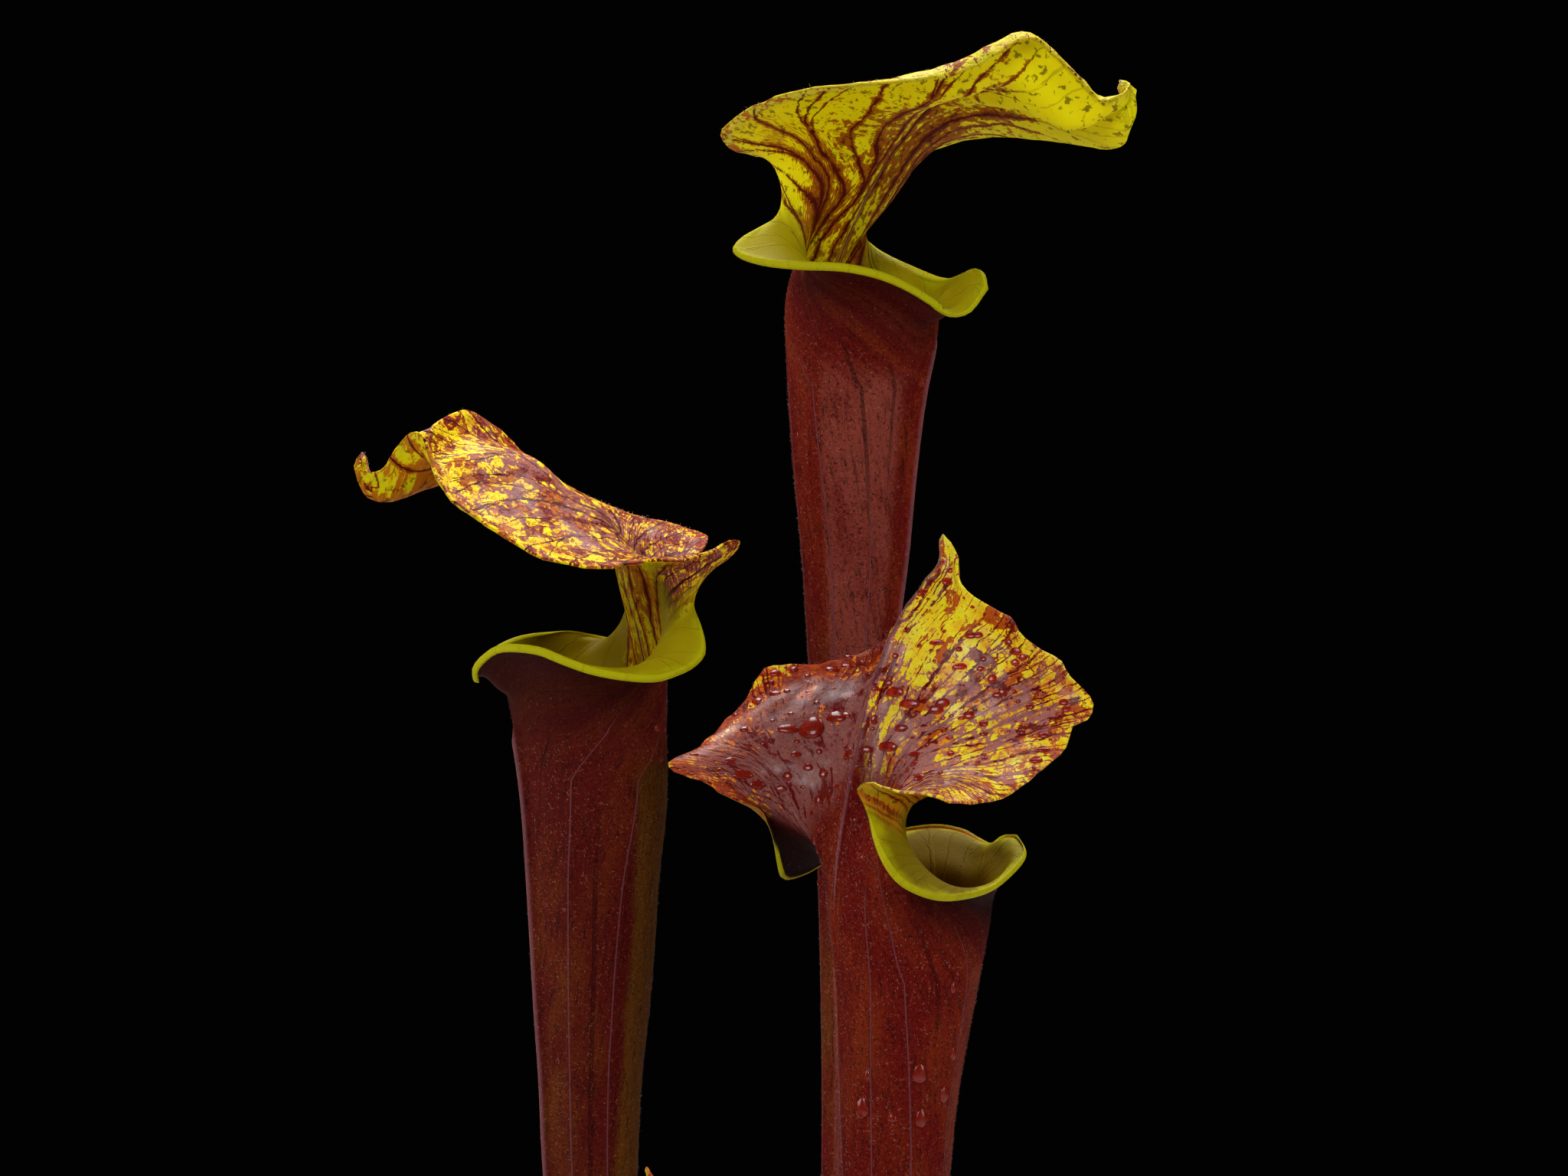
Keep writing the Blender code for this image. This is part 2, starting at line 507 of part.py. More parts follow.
def add_solid(name, points, faces, colour, roughness, smooth=True):
    mesh = bpy.data.meshes.new(name)
    mesh.from_pydata([tuple(float(v) * MM for v in p) for p in points], [], faces)
    mesh.validate()
    mesh.materials.append(make_material(name, colour, roughness))
    for polygon in mesh.polygons:
        polygon.use_smooth = smooth
    thing = bpy.data.objects.new(name, mesh)
    bpy.context.scene.collection.objects.link(thing)
    return thing


def lathe(profile, sides):
    """Turns a closed or axis-to-axis profile of (radius, z) round the Z axis."""
    points, faces, rows = [], [], []
    for radius, z in profile:
        if radius < 1e-6:
            rows.append([len(points)])
            points.append((0.0, 0.0, z))
        else:
            rows.append(list(range(len(points), len(points) + sides)))
            for i in range(sides):
                angle = 2 * math.pi * i / sides
                points.append((radius * math.cos(angle), radius * math.sin(angle), z))
    for low, high in zip(rows[:-1], rows[1:]):
        for i in range(sides):
            j = (i + 1) % sides
            if len(low) == 1:
                faces.append((low[0], high[j], high[i]))
            elif len(high) == 1:
                faces.append((low[i], low[j], high[0]))
            else:
                faces += [(low[i], low[j], high[j]), (low[i], high[j], high[i])]
    return points, faces


def make_pot():
    lip_bottom = POT_HEIGHT - POT_RIM_HEIGHT
    slope = (POT_TOP_RADIUS - POT_FOOT_RADIUS) / POT_HEIGHT
    at = lambda z: POT_FOOT_RADIUS + slope * z
    outer_top = at(POT_HEIGHT) + POT_RIM_PROUD
    profile = [
        (0, 0), (POT_FOOT_RADIUS - 1.5, 0), (POT_FOOT_RADIUS, 1.5), (at(lip_bottom - 3), lip_bottom - 3),
        (at(lip_bottom) + POT_RIM_PROUD, lip_bottom), (outer_top, POT_HEIGHT - 1.5),
        (outer_top - 1.5, POT_HEIGHT), (at(POT_HEIGHT) - POT_WALL + 1, POT_HEIGHT),
        (at(POT_HEIGHT - 1) - POT_WALL, POT_HEIGHT - 1), (at(POT_FLOOR) - POT_WALL, POT_FLOOR), (0, POT_FLOOR),
    ]
    points, faces = lathe(profile, POT_SIDES)
    return add_solid("pot", points, faces, POT_CLAY, 0.8)


def make_soil():
    slope = (POT_TOP_RADIUS - POT_FOOT_RADIUS) / POT_HEIGHT
    at = lambda z: POT_FOOT_RADIUS + slope * z - POT_WALL - FIT_GAP
    low = POT_FLOOR + FIT_GAP
    profile = [(0, low), (at(low), low), (at(SOIL_TOP) - 0.2, SOIL_TOP)]
    for share in (0.85, 0.65, 0.45, 0.25):
        rise = SOIL_CROWN * math.cos(share * math.pi / 2)
        profile.append((share * at(SOIL_TOP), SOIL_TOP + rise))
    profile.append((0, SOIL_TOP + SOIL_CROWN))
    points, faces = lathe(profile, SOIL_SIDES)
    soil = add_solid("soil", points, faces, SOIL_BROWN, 0.95)
    trench = rhizome_body("trench", FIT_GAP)
    cut(soil, trench)
    return soil


def rhizome_body(name, grow):
    """A short stem, thickest where the leaves stand, lying along X."""
    sides, rings = 16, 15
    points, faces = [], []
    for k in range(1, rings):
        along = -math.cos(math.pi * k / rings)
        swell = 1 + 0.06 * math.sin(along * 21) + 0.03 * math.sin(along * 37 + 1)
        radius = RHIZOME_RADIUS * (1 - abs(along) ** 3.2) ** 0.5 * swell + grow
        for i in range(sides):
            angle = 2 * math.pi * i / sides
            points.append(((RHIZOME_HALF_LENGTH + grow) * along, radius * math.cos(angle),
                           RHIZOME_CENTRE_Z + radius * math.sin(angle)))
    tips = [len(points), len(points) + 1]
    points += [(-RHIZOME_HALF_LENGTH - grow, 0, RHIZOME_CENTRE_Z), (RHIZOME_HALF_LENGTH + grow, 0, RHIZOME_CENTRE_Z)]
    for k in range(rings - 2):
        for i in range(sides):
            j = (i + 1) % sides
            a, b = k * sides + i, k * sides + j
            faces += [(a, b, b + sides), (a, b + sides, a + sides)]
    last = (rings - 2) * sides
    for i in range(sides):
        j = (i + 1) % sides
        faces.append((tips[0], j, i))
        faces.append((tips[1], last + i, last + j))
    return add_solid(name, points, faces, RHIZOME_BROWN, 0.85)


def cut(body, cutter):
    cutter.hide_render = True
    cutter.display_type = "WIRE"
    step = body.modifiers.new("cut", "BOOLEAN")
    step.operation = "DIFFERENCE"
    step.solver = "EXACT"
    step.object = cutter
    with bpy.context.temp_override(object=body, active_object=body, selected_objects=[body]):
        bpy.ops.object.modifier_apply(modifier=step.name)
    bpy.data.objects.remove(cutter)


def make_rhizome():
    rhizome = rhizome_body("rhizome", 0.0)
    for name, x in LEAF_FEET_X.items():
        foot = YOUNG_FOOT_RADIUS if name == "small_pitcher" else LEAF_FOOT_RADIUS
        radius = foot + LEAF_THICKNESS / 2 + FIT_GAP
        points, faces = lathe([(0, SOCKET_FLOOR), (radius, SOCKET_FLOOR), (radius, SOCKET_FLOOR + 30),
                               (0, SOCKET_FLOOR + 30)], 20)
        points = [(px + x, py, pz) for px, py, pz in points]
        cut(rhizome, add_solid("socket", points, faces, RHIZOME_BROWN, 0.85))
    return rhizome


def main():
    for thing in list(bpy.data.objects):
        bpy.data.objects.remove(thing)
    make_pot()
    make_soil()
    make_rhizome()
    for name, leaf in (("tall_pitcher", TALL), ("left_pitcher", LEFT), ("front_pitcher", FRONT)):
        grown = rooted(leaf, name, LEAF_FOOT_RADIUS)
        points, faces = leaf_solid(grown, LINES_EACH_SIDE, HOOD_ROWS, TUBE_ROWS)
        add_solid(name, points, faces, LEAF_RED, 0.45)
    grown = rooted(young_leaf(), "small_pitcher", YOUNG_FOOT_RADIUS)
    points, faces = leaf_solid(grown, YOUNG_LINES_EACH_SIDE, YOUNG_HOOD_ROWS, TUBE_ROWS)
    add_solid("small_pitcher", points, faces, YOUNG_RED, 0.45)


main()
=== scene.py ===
# %% [markdown]
# # A yellow pitcher plant
#
# This plant catches insects in tall hollow leaves. Each leaf is a tube that widens to a mouth with a rolled
# lip, and carries a veined lid on a narrow column over the mouth. Three full pitchers and a young one grow
# from a short thick stem, half buried in the peat of a plain clay pot.
#
# The script starts from the fixed solids of the plant. It grows finer leaves in their places, gives them
# their colours, veins and hairs, and then sets the light and the camera.

# %% Load the fixed solids
import math
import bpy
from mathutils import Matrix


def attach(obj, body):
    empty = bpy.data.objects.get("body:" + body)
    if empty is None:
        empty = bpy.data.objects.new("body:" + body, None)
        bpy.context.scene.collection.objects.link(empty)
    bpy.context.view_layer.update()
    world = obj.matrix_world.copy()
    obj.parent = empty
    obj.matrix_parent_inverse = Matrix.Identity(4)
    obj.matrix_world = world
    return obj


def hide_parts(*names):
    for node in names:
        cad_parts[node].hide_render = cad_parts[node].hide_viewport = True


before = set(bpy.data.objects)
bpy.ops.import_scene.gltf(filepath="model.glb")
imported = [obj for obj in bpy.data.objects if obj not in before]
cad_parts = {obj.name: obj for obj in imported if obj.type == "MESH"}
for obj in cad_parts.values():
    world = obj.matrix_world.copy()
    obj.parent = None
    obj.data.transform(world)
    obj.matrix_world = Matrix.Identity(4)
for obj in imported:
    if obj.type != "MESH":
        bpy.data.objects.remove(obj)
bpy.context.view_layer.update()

from types import SimpleNamespace

import bpy
import numpy as np
from mathutils import Vector, noise
from mathutils.bvhtree import BVHTree

MM = 0.001
print("nodes:", ", ".join(sorted(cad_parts)))

# %% [markdown]
# ## How a pitcher is laid out
#
# A real pitcher is one leaf, rolled into a tube. So it is made here as one sheet of lines, like the ribs of a
# basket. Each line starts at the foot, climbs the tube, and ends somewhere on the rim. The lines at the back
# end on the lid's margin, and the ones at the front end on the lip. The number u counts them, from 0 at the
# middle of the back to 1 at the spout.
#
# A sculpted or subdivided cage could give the same form, but the lines also tell every point where it is on
# the leaf, and the veins, blotches and hairs need that.

# %% Sizes that all the leaves share, in millimetres
TIP_TO_NOTCH = 0.56
TIP_TO_EAR = 0.66
THROAT_DROP = 34.0
NECK_DROP = 8.0
HEM_SHARE = 0.94
SMOOTH_ROUNDS = 16
SMOOTH_STRENGTH = 0.7
SMOOTH_SPREAD = 0.2
PLAIN_LINES_EACH_SIDE = 25
PLAIN_HOOD_ROWS = 14
LEAF_THICKNESS = 1.0
LEAF_THINNEST = 0.62
NOTCH_THINNER = 0.32
LIP_RADIUS = 1.25
HEM_RADIUS = 0.45
WING_HEIGHT = 2.2

# %% Where the leaves stand in the stem
POT_HEIGHT = 128.0
POT_FOOT_RADIUS = 54.0
POT_TOP_RADIUS = 72.0
POT_WALL = 3.2
POT_FLOOR = 4.0
POT_RIM_HEIGHT = 20.0
POT_RIM_PROUD = 3.0
SOIL_TOP = 116.0
SOIL_CROWN = 3.0
FIT_GAP = 0.3
RHIZOME_RADIUS = 9.5
RHIZOME_HALF_LENGTH = 31.0
RHIZOME_CENTRE_Z = SOIL_TOP + SOIL_CROWN - 2.0
SOCKET_FLOOR = RHIZOME_CENTRE_Z + 2.0
LEAF_FOOT_Z = SOCKET_FLOOR + FIT_GAP
LEAF_FOOT_RADIUS = 4.8
YOUNG_FOOT_RADIUS = 4.0
FOOT_STRAIGHT = 8.5
LEAF_FEET_X = {"left_pitcher": -19.0, "small_pitcher": -6.5, "tall_pitcher": 6.0, "front_pitcher": 18.5}
print("leaf feet stand", LEAF_FOOT_Z, "mm above the floor, at x", list(LEAF_FEET_X.values()))

# %% [markdown]
# ## The three full pitchers
#
# Each one has its own axes: x points to the spout, y to the leaf's left, z up, from the middle of the mouth.
# The lists give the rim on both sides, from the lid's tip down the column's margin and round the lip to the
# spout, then the middle line of the back, and the tube's radius and lean on the way down. They are the same
# values that the plain solids were made from, so the fine leaf lies where the solid lies.

# %% The three pitchers' own lines
TALL = dict(
    at=(23.5, 35.0, 568.8),
    yaw=-25.0,
    lid={
        1: [(79, 0, 50), (82.5, 1, 48), (80.5, 4, 44), (78, 8, 40.5), (74.5, 13, 38), (66, 18, 39),
            (57.5, 22, 40), (43, 30, 42), (26, 38, 43), (8, 44, 40), (-6, 46, 36), (-17.5, 44, 34),
            (-22, 37, 32.5), (-20, 29, 29.5), (-17, 26, 26.5), (-14.5, 24.5, 23.5), (-14, 24, 20)],
        -1: [(79, 0, 50), (82.5, -1, 49), (82.5, -5, 45.5), (78.5, -9, 44), (74.5, -12, 47),
             (72, -15, 50.5), (68, -19, 55.5), (63.5, -23, 60), (58.5, -27, 59), (52.5, -32, 53.5),
             (45, -36, 50), (33.5, -41, 48.5), (15, -45, 47), (-2.5, -44, 45.5), (-16.5, -40, 41),
             (-26.5, -33, 36), (-26.5, -27, 33), (-21.5, -22, 31.5), (-17, -17, 31), (-13.5, -13, 29),
             (-11.5, -12, 22)],
    },
    ear={
        1: [(-14.8, 25, 17), (-17, 27.3, 14.5), (-19.8, 30, 12.8), (-22, 33, 12)],
        -1: [(-12, -14, 18), (-14.5, -18, 14), (-18.5, -24, 10), (-22.5, -28, 7), (-23.5, -31, 4.5)],
    },
    lip={
        1: [(-15.5, 35, 10), (-9, 33, 6), (3.5, 26, 1), (17.5, 17, -3.5), (25.5, 11, -3.5), (32, 7, -2),
            (37.5, 3, -2), (40, 0, -6.5)],
        -1: [(-21.5, -33, 2.5), (-15, -35, 0.5), (-1.5, -38, -1), (12, -35, -1.5), (20.5, -29, -3.5),
             (26, -20, -7), (29.5, -13, -11), (31.5, -8, -14.5), (36, -4, -13.5), (40, 0, -6.5)],
    },
    keel=[(-6, 2.5), (-3.5, 8.5), (0, 15), (5.5, 25.5), (13.5, 35.5), (17, 40.5), (22.5, 44.5), (34, 47.5),
          (49, 47), (65, 44), (76.5, 40), (82, 44.5), (79, 50)],
    tube=[(0, 24.5, 0.5, 0), (12, 22.8, 0.5, 0), (34, 18.9, 0, 0), (50, 17.2, -0.5, 0),
          (65, 15.7, -0.7, 0), (80, 14.2, -0.7, 0), (100, 12.1, -1.4, 0), (170, 7.8, -2.3, 0),
          (250, 6.3, -2.7, 0), (330, 5.6, -6, -9), (400, 5.1, -13.5, -26)],
    neck_radius=23.6,
    groove=(0.05, 0.46),
    waist=22.0,
    roll={1: 5.0, -1: 3.0},
    sag={1: 0.0, -1: 2.0},
    curl={1: 0.0, -1: 4.6},
)

LEFT = dict(
    at=(-49.5, 0.0, 461.0),
    yaw=205.0,
    lid={
        1: [(67.5, 0, 55), (69, 1, 51.5), (66.5, 2, 49.5), (63, 4, 50.5), (62, 7, 54), (60, 9, 57.5),
            (58.5, 12, 60), (56.5, 16, 60), (56.5, 20, 55), (56, 23, 50.5), (55, 28, 45.5), (53.5, 33, 41),
            (50, 37, 37.5), (45, 40, 33.5), (37.5, 44, 28), (26.5, 46, 24.5), (12.5, 45, 24),
            (0.5, 42, 25.5), (-13, 38, 26), (-21, 34, 28), (-27.5, 30, 31.5), (-33.5, 25, 30.5),
            (-33, 19, 27), (-30, 15, 24), (-25, 12, 19.5)],
        -1: [(67.5, 0, 55), (69.5, -1, 51.5), (66, -3, 49), (59, -6, 50), (54.5, -9, 53.5),
             (50.5, -11, 57.5), (46.5, -13, 60.5), (42, -15, 62), (37, -19, 64.5), (30, -24, 67),
             (24.5, -28, 67.5), (20, -31, 66), (14.5, -34, 62.5), (8, -37, 58), (-3, -41, 50.5),
             (-18.5, -44, 42.5), (-32.5, -43, 38.5), (-40.5, -41, 36.5), (-47, -37, 35), (-48.5, -30, 33),
             (-42.5, -22, 28), (-35, -17.5, 24), (-30, -15, 19)],
    },
    ear={
        1: [(-22.5, 17, 14), (-22, 24, 8), (-21.5, 28, 3.5)],
        -1: [(-29.5, -18.5, 13.5), (-32.5, -23.5, 8), (-36, -28, 4)],
    },
    lip={
        1: [(-20, 31, 0), (-16, 33, -3), (-10.5, 35, -5), (-4.5, 36, -6.5), (6, 36, -6), (15, 33, -4),
            (21.5, 29, -1), (26, 25, 1.5), (31, 19, 2.5), (34, 13, 2), (36, 7, -1), (36.5, 3, -4),
            (35, 0, -7)],
        -1: [(-36, -31, 1.5), (-30.5, -33, 1), (-24, -33, 2), (-15, -31, 4), (-5, -27, 6), (6.5, -20, 6),
             (16, -14, 5), (23.5, -9, 3), (29, -5, 0.5), (33, -2, -2.5), (35, 0, -7)],
    },
    keel=[(-16, -0.5), (-14.5, 6), (-12.5, 11.5), (-11, 19), (-10.5, 27.5), (-8.5, 34), (-2.5, 38.5),
          (6.5, 42.5), (20.5, 49), (34.5, 54), (43.5, 54), (51.5, 50.5), (58, 48.5), (63, 47), (67.5, 49),
          (69.5, 51.5), (67.5, 55)],
    tube=[(0, 25, -1, 0), (11, 22.8, -0.8, 0), (18, 21.4, -0.2, 0), (32, 20, 0.5, 0), (45, 19, 0.9, 0),
          (58, 17.7, 0.5, 0), (76, 16.5, 0.5, 0), (97, 15, 0.3, 0), (115, 13.3, 0, 0), (137, 12.2, 0, 0),
          (200, 8.8, 3.5, 0), (260, 6.4, 14, 0), (305, 5.2, 26, 0)],
    neck_radius=24.0,
    groove=(0.1, 0.6),
    waist=18.0,
    roll={1: 1.5, -1: 1.0},
    sag={1: 1.0, -1: 1.0},
    curl={1: 0.0, -1: 0.0},
)

FRONT = dict(
    at=(37.6, -25.0, 407.4),
    yaw=28.0,
    lid={
        1: [(9.5, 0, 86.5), (11.5, 2, 82.5), (10, 5, 77), (8.5, 11, 71), (7.5, 18, 65.5), (7, 24, 60.5),
            (5.5, 28, 56.5), (1.5, 31, 54), (-4.5, 34, 51.5), (-11.5, 37, 51), (-17, 40, 51),
            (-22, 42, 50), (-25, 43, 46), (-29.5, 43, 39.5), (-35, 42, 35), (-44.5, 38, 28.5),
            (-51.5, 34, 26.5), (-58.5, 30, 24.5), (-57, 28, 22), (-51.5, 26, 20), (-45.5, 23, 17),
            (-41, 20, 14), (-37, 18, 12.5)],
        -1: [(9.5, 0, 86.5), (11, -1, 85), (12, -3, 82), (11, -7, 75.5), (10.5, -12, 71),
             (14.5, -20, 66.5), (17.5, -24, 64), (18.5, -27, 60), (22, -30, 56), (27, -34, 52.5),
             (28.5, -36, 48.5), (32, -38, 44.5), (33.5, -40, 41), (31.5, -41, 37), (27, -41, 35.5),
             (23.5, -42, 29), (17, -43, 24.5), (11, -44, 20.5), (3.5, -44, 16.5), (-3.5, -43, 15),
             (-10.5, -41, 15), (-17, -38, 17), (-21, -35, 18), (-24.5, -30, 19.5), (-26.5, -24, 20.5),
             (-26.5, -18, 18.5)],
    },
    ear={
        1: [(-32, 22, 8), (-27.5, 27, 1.5), (-24.5, 31, -3.5)],
        -1: [(-26, -20, 15), (-26.5, -24, 11), (-27.5, -29, 5.5), (-27, -33, 0)],
    },
    lip={
        1: [(-21.5, 34, -7.5), (-15, 36, -6.5), (-3.5, 37, -0.5), (5.5, 36, 3), (14, 33, 4.5),
            (18.5, 31, 5.5), (24.5, 28, 6), (29.5, 23, 4.5), (31, 18, 2), (31, 10, 0.5), (32.5, 5, 3),
            (33.5, 0, 3.5)],
        -1: [(-24, -36, -5.5), (-19, -37, -8.5), (-11.5, -36, -10.5), (-2.5, -33, -10.5), (9.5, -27, -9),
             (22, -18, -4.5), (29.5, -11, -1), (32.5, -5, 1), (33.5, 0, 3.5)],
    },
    keel=[(-23, -16.5), (-22.5, -7), (-22, 0.5), (-20.5, 10.5), (-18, 20.5), (-13.5, 39.5), (-9, 51.5),
          (-1.5, 65.5), (6, 74.5), (10.5, 82.5), (9.5, 86.5)],
    tube=[(0, 23, 0, 0), (14, 21.8, -0.4, 0), (26, 20, -0.2, 0), (36, 18.7, -1.1, 0), (52, 16.9, -2.4, 0),
          (68, 15.2, -3.4, 0), (84, 14.1, -3.9, 0), (150, 9.4, -7, 3), (210, 6.4, -12.5, 12),
          (255, 5.2, -17.5, 21)],
    neck_radius=22.4,
    groove=(0.1, 0.6),
    waist=15.0,
    roll={1: 3.0, -1: 8.0},
    sag={1: 1.0, -1: 2.0},
    curl={1: 0.0, -1: 0.0},
)

# %% [markdown]
# ## The young pitcher
#
# A fourth, small leaf is just opening in front of the others. It has the left pitcher's form at two fifths of
# its size, so its lines are those lines made small.

# %% The young pitcher's values
YOUNG_SIZE = 0.4
YOUNG_SOFT = 3.0
YOUNG_NOTCH = (-11.5, 6.5, 8.3)
YOUNG_TUBE = [(0, 10, 0, 0), (7, 8.9, 0, 0), (14, 8, 0, 0), (30, 7.2, 0, 0), (60, 6.2, 1, 2), (110, 5, 7, 16),
              (152, 4.2, 12.3, 28.8)]


def made_small(value):
    """The same lists and numbers, each at the young pitcher's size."""
    if isinstance(value, dict):
        return {title: made_small(part) for title, part in value.items()}
    if isinstance(value, (list, tuple)):
        return type(value)(made_small(part) for part in value)
    return value * YOUNG_SIZE


def young_leaf():
    leaf = dict(LEFT, size=YOUNG_SIZE, soft=YOUNG_SOFT, at=(-19.3, -30.0, 296.5), yaw=240.0, tube=YOUNG_TUBE)
    for part in ("lid", "ear", "lip", "keel", "neck_radius", "waist", "roll", "sag"):
        leaf[part] = made_small(LEFT[part])
    leaf["lid"][1][-1] = YOUNG_NOTCH
    return leaf


def rooted(leaf, name):
    """The leaf with its tube carried down to its own socket in the stem."""
    ax, ay, az = leaf["at"]
    drop = az - LEAF_FOOT_Z
    foot = (YOUNG_FOOT_RADIUS if "size" in leaf else LEAF_FOOT_RADIUS, LEAF_FEET_X[name] - ax, -ay)
    tube = leaf["tube"] + [(drop - FOOT_STRAIGHT, *foot), (drop, *foot)]
    return {"size": 1.0, "soft": 1.0} | leaf | {"tube": tube}


LEAVES = {"tall_pitcher": TALL, "left_pitcher": LEFT, "front_pitcher": FRONT, "small_pitcher": young_leaf()}
LEAVES = {name: rooted(leaf, name) for name, leaf in LEAVES.items()}
for name, leaf in LEAVES.items():
    print(name, "has its mouth", round(leaf["at"][2]), "mm above the floor")

# %% [markdown]
# ## From a few read points to smooth lines
#
# The rim was read at a few dozen points. A smooth curve goes through them, and more points are read from it
# where they are needed. The steps are spread half by length and half by how closely the points were read, so
# tight curls such as the lid's hooked tip get more lines.

# %% Curves and the rim
def curve(stations, points, at):
    """A smooth curve through the points, read at the places asked for."""
    s, p = np.asarray(stations, float), np.asarray(points, float)
    d = np.diff(s)
    slope = np.diff(p, axis=0) / d[:, None]
    middle = (slope[:-1] * d[1:, None] + slope[1:] * d[:-1, None]) / (d[:-1] + d[1:])[:, None]
    m = np.concatenate([slope[:1], middle, slope[-1:]])
    at = np.clip(np.asarray(at, float), s[0], s[-1])
    k = np.clip(np.searchsorted(s, at, side="right") - 1, 0, len(d) - 1)
    t = ((at - s[k]) / d[k])[:, None]
    h = d[k][:, None]
    first = (2 * t**3 - 3 * t**2 + 1) * p[k] + (t**3 - 2 * t**2 + t) * h * m[k]
    second = (3 * t**2 - 2 * t**3) * p[k + 1] + (t**3 - t**2) * h * m[k + 1]
    return first + second


def run_lengths(points):
    steps = np.linalg.norm(np.diff(points, axis=0), axis=1)
    return np.concatenate([[0], np.cumsum(steps)])


def ease(x):
    x = np.clip(x, 0, 1)
    return x * x * (3 - 2 * x)


def unit(vectors):
    return vectors / np.linalg.norm(vectors, axis=-1, keepdims=True)


def rim_line(leaf, side, us):
    """The rim of one side, with its points spread half by length and half by how closely they were read."""
    lid, ear, lip = leaf["lid"][side], leaf["ear"][side], leaf["lip"][side]
    stations = [0.0]
    for span, low, high in ((lid, 0.0, TIP_TO_NOTCH), (lid[-1:] + ear, TIP_TO_NOTCH, TIP_TO_EAR),
                            (ear[-1:] + lip, TIP_TO_EAR, 1.0)):
        run = run_lengths(np.array(span, float))
        share = 0.5 * run / run[-1] + 0.5 * np.arange(len(run)) / (len(run) - 1)
        stations.extend(low + (high - low) * share[1:])
    return curve(stations, np.array(lid + ear + lip, float), us)


print("the tall pitcher's rim on its left:", rim_line(TALL, 1, np.linspace(0, 1, 9)).round(0).tolist())

# %% [markdown]
# ## The tube
#
# Below the mouth the leaf is round in section, and only its radius and its lean change with height.

# %% Round sections of the tube
NOTCH_ANGLE = 58
EAR_ANGLE = 82


def line_angles(us):
    """The angle round the tube that each line rises from, from 0 at the back to pi at the front."""
    angles = np.radians([[0], [NOTCH_ANGLE], [EAR_ANGLE], [180]])
    return curve([0, TIP_TO_NOTCH, TIP_TO_EAR, 1], angles, us)[:, 0]


def tube_at(leaf, drops):
    """Radius and shift of the tube, at distances below the mouth."""
    table = np.array(leaf["tube"], float)
    out = curve(table[:, 0], table[:, 1:], np.atleast_1d(drops))
    return out[:, 0], out[:, 1:]


def heading(leaf):
    return math.cos(math.radians(leaf["yaw"])), math.sin(math.radians(leaf["yaw"]))


def turned(leaf, points):
    """From the leaf's own axes to the plant's axes."""
    c, s = heading(leaf)
    x, y, z = points[..., 0], points[..., 1], points[..., 2]
    return np.stack([x * c - y * s, x * s + y * c, z], -1) + leaf["at"]


def ring(leaf, drop, circle):
    """One round section of the tube, in the leaf's own axes."""
    radius, shift = tube_at(leaf, drop)
    c, s = heading(leaf)
    sx, sy = shift[0]
    return circle * radius[0] + np.array([sx * c + sy * s, -sx * s + sy * c, -drop])


def tube_drops(leaf, tube_rows):
    """Distances of the tube's rows below the mouth. The foot stands straight, then they are even."""
    foot = leaf["tube"][-1][0]
    return np.concatenate([[foot], np.linspace(foot - FOOT_STRAIGHT, THROAT_DROP * leaf["size"], tube_rows)])


print("radius at the throat:", [round(float(tube_at(leaf, THROAT_DROP)[0][0]), 1) for leaf in LEAVES.values()])

# %% [markdown]
# ## Throat, flare, column and lid
#
# Above the throat each line runs through a few guides up to its place on the rim. At the back they pass
# through the column, whose section is creased in the middle and rolls back at both margins, and then spread
# out into the lid. At the front they flare out into the lip. Beside the notch, where the two meet, the folds
# are tight, and a few rounds of averaging ease them.

# %% The guides below the waist of the column
def lower_guides(leaf, us, circle, rim, fine):
    """Low throat, throat, flare and neck. fine is the middle line of the back, closely read."""
    size = leaf["size"]
    throat_drop, neck_drop = THROAT_DROP * size, NECK_DROP * size
    low = ring(leaf, throat_drop + 14 * size, circle)
    throat = ring(leaf, throat_drop, circle)
    upper = ring(leaf, neck_drop + 9 * size, circle)
    neck = circle * leaf["neck_radius"] + np.array([0, 0, -neck_drop])
    # Where the lip runs low or high, the flare below it starts lower or higher too
    follow = ease((us - TIP_TO_NOTCH) / (TIP_TO_EAR - TIP_TO_NOTCH)) * np.minimum(rim[:, 2], 8 * size) * 0.6
    # The back wall leaves the tube and leans forward into the column
    start, end = leaf["groove"]
    back = 1 - ease((us - start) / (end - start))
    for guide, drop, share in ((neck, neck_drop, 1.0), (upper, neck_drop + 9 * size, 0.8)):
        guide[:, 2] += follow * share
        at = int(np.argmax(fine[:, 2] > -drop))
        guide[:, 0] += (fine[at, 0] - guide[0, 0]) * back
    return [low, throat, upper, neck]


def waist_line(leaf, side, us, rim, neck, crease):
    """Section at the waist of the column, from the crease to the rolled margin, and on into the flare."""
    a = np.clip(us / TIP_TO_NOTCH, 0, 1)
    turn = a * math.pi / 2
    edge = neck + (rim - neck) * HEM_SHARE
    hem = edge[int(np.argmin(np.abs(us - TIP_TO_NOTCH)))]
    roll = leaf["roll"][side] * np.sin(np.pi * a**0.9)
    waist = np.stack([
        crease[0] + (hem[0] - crease[0]) * (1 - np.cos(turn)) ** 1.1 + roll,
        hem[1] * np.sin(turn),
        crease[2] + (hem[2] - crease[2]) * a**1.6], 1)
    swing = ease((us - TIP_TO_NOTCH) / (TIP_TO_EAR - TIP_TO_NOTCH))[:, None]
    flare_start = neck + (rim - neck) * np.array([0.42, 0.42, 0.62])
    return np.where(us[:, None] <= TIP_TO_NOTCH, waist, edge * (1 - swing) + flare_start * swing)


# %% The hood of the leaf
KEEL_POINTS = 500
GUIDE_STEPS = (0.2, 0.4, 0.6, 0.8, 0.9)


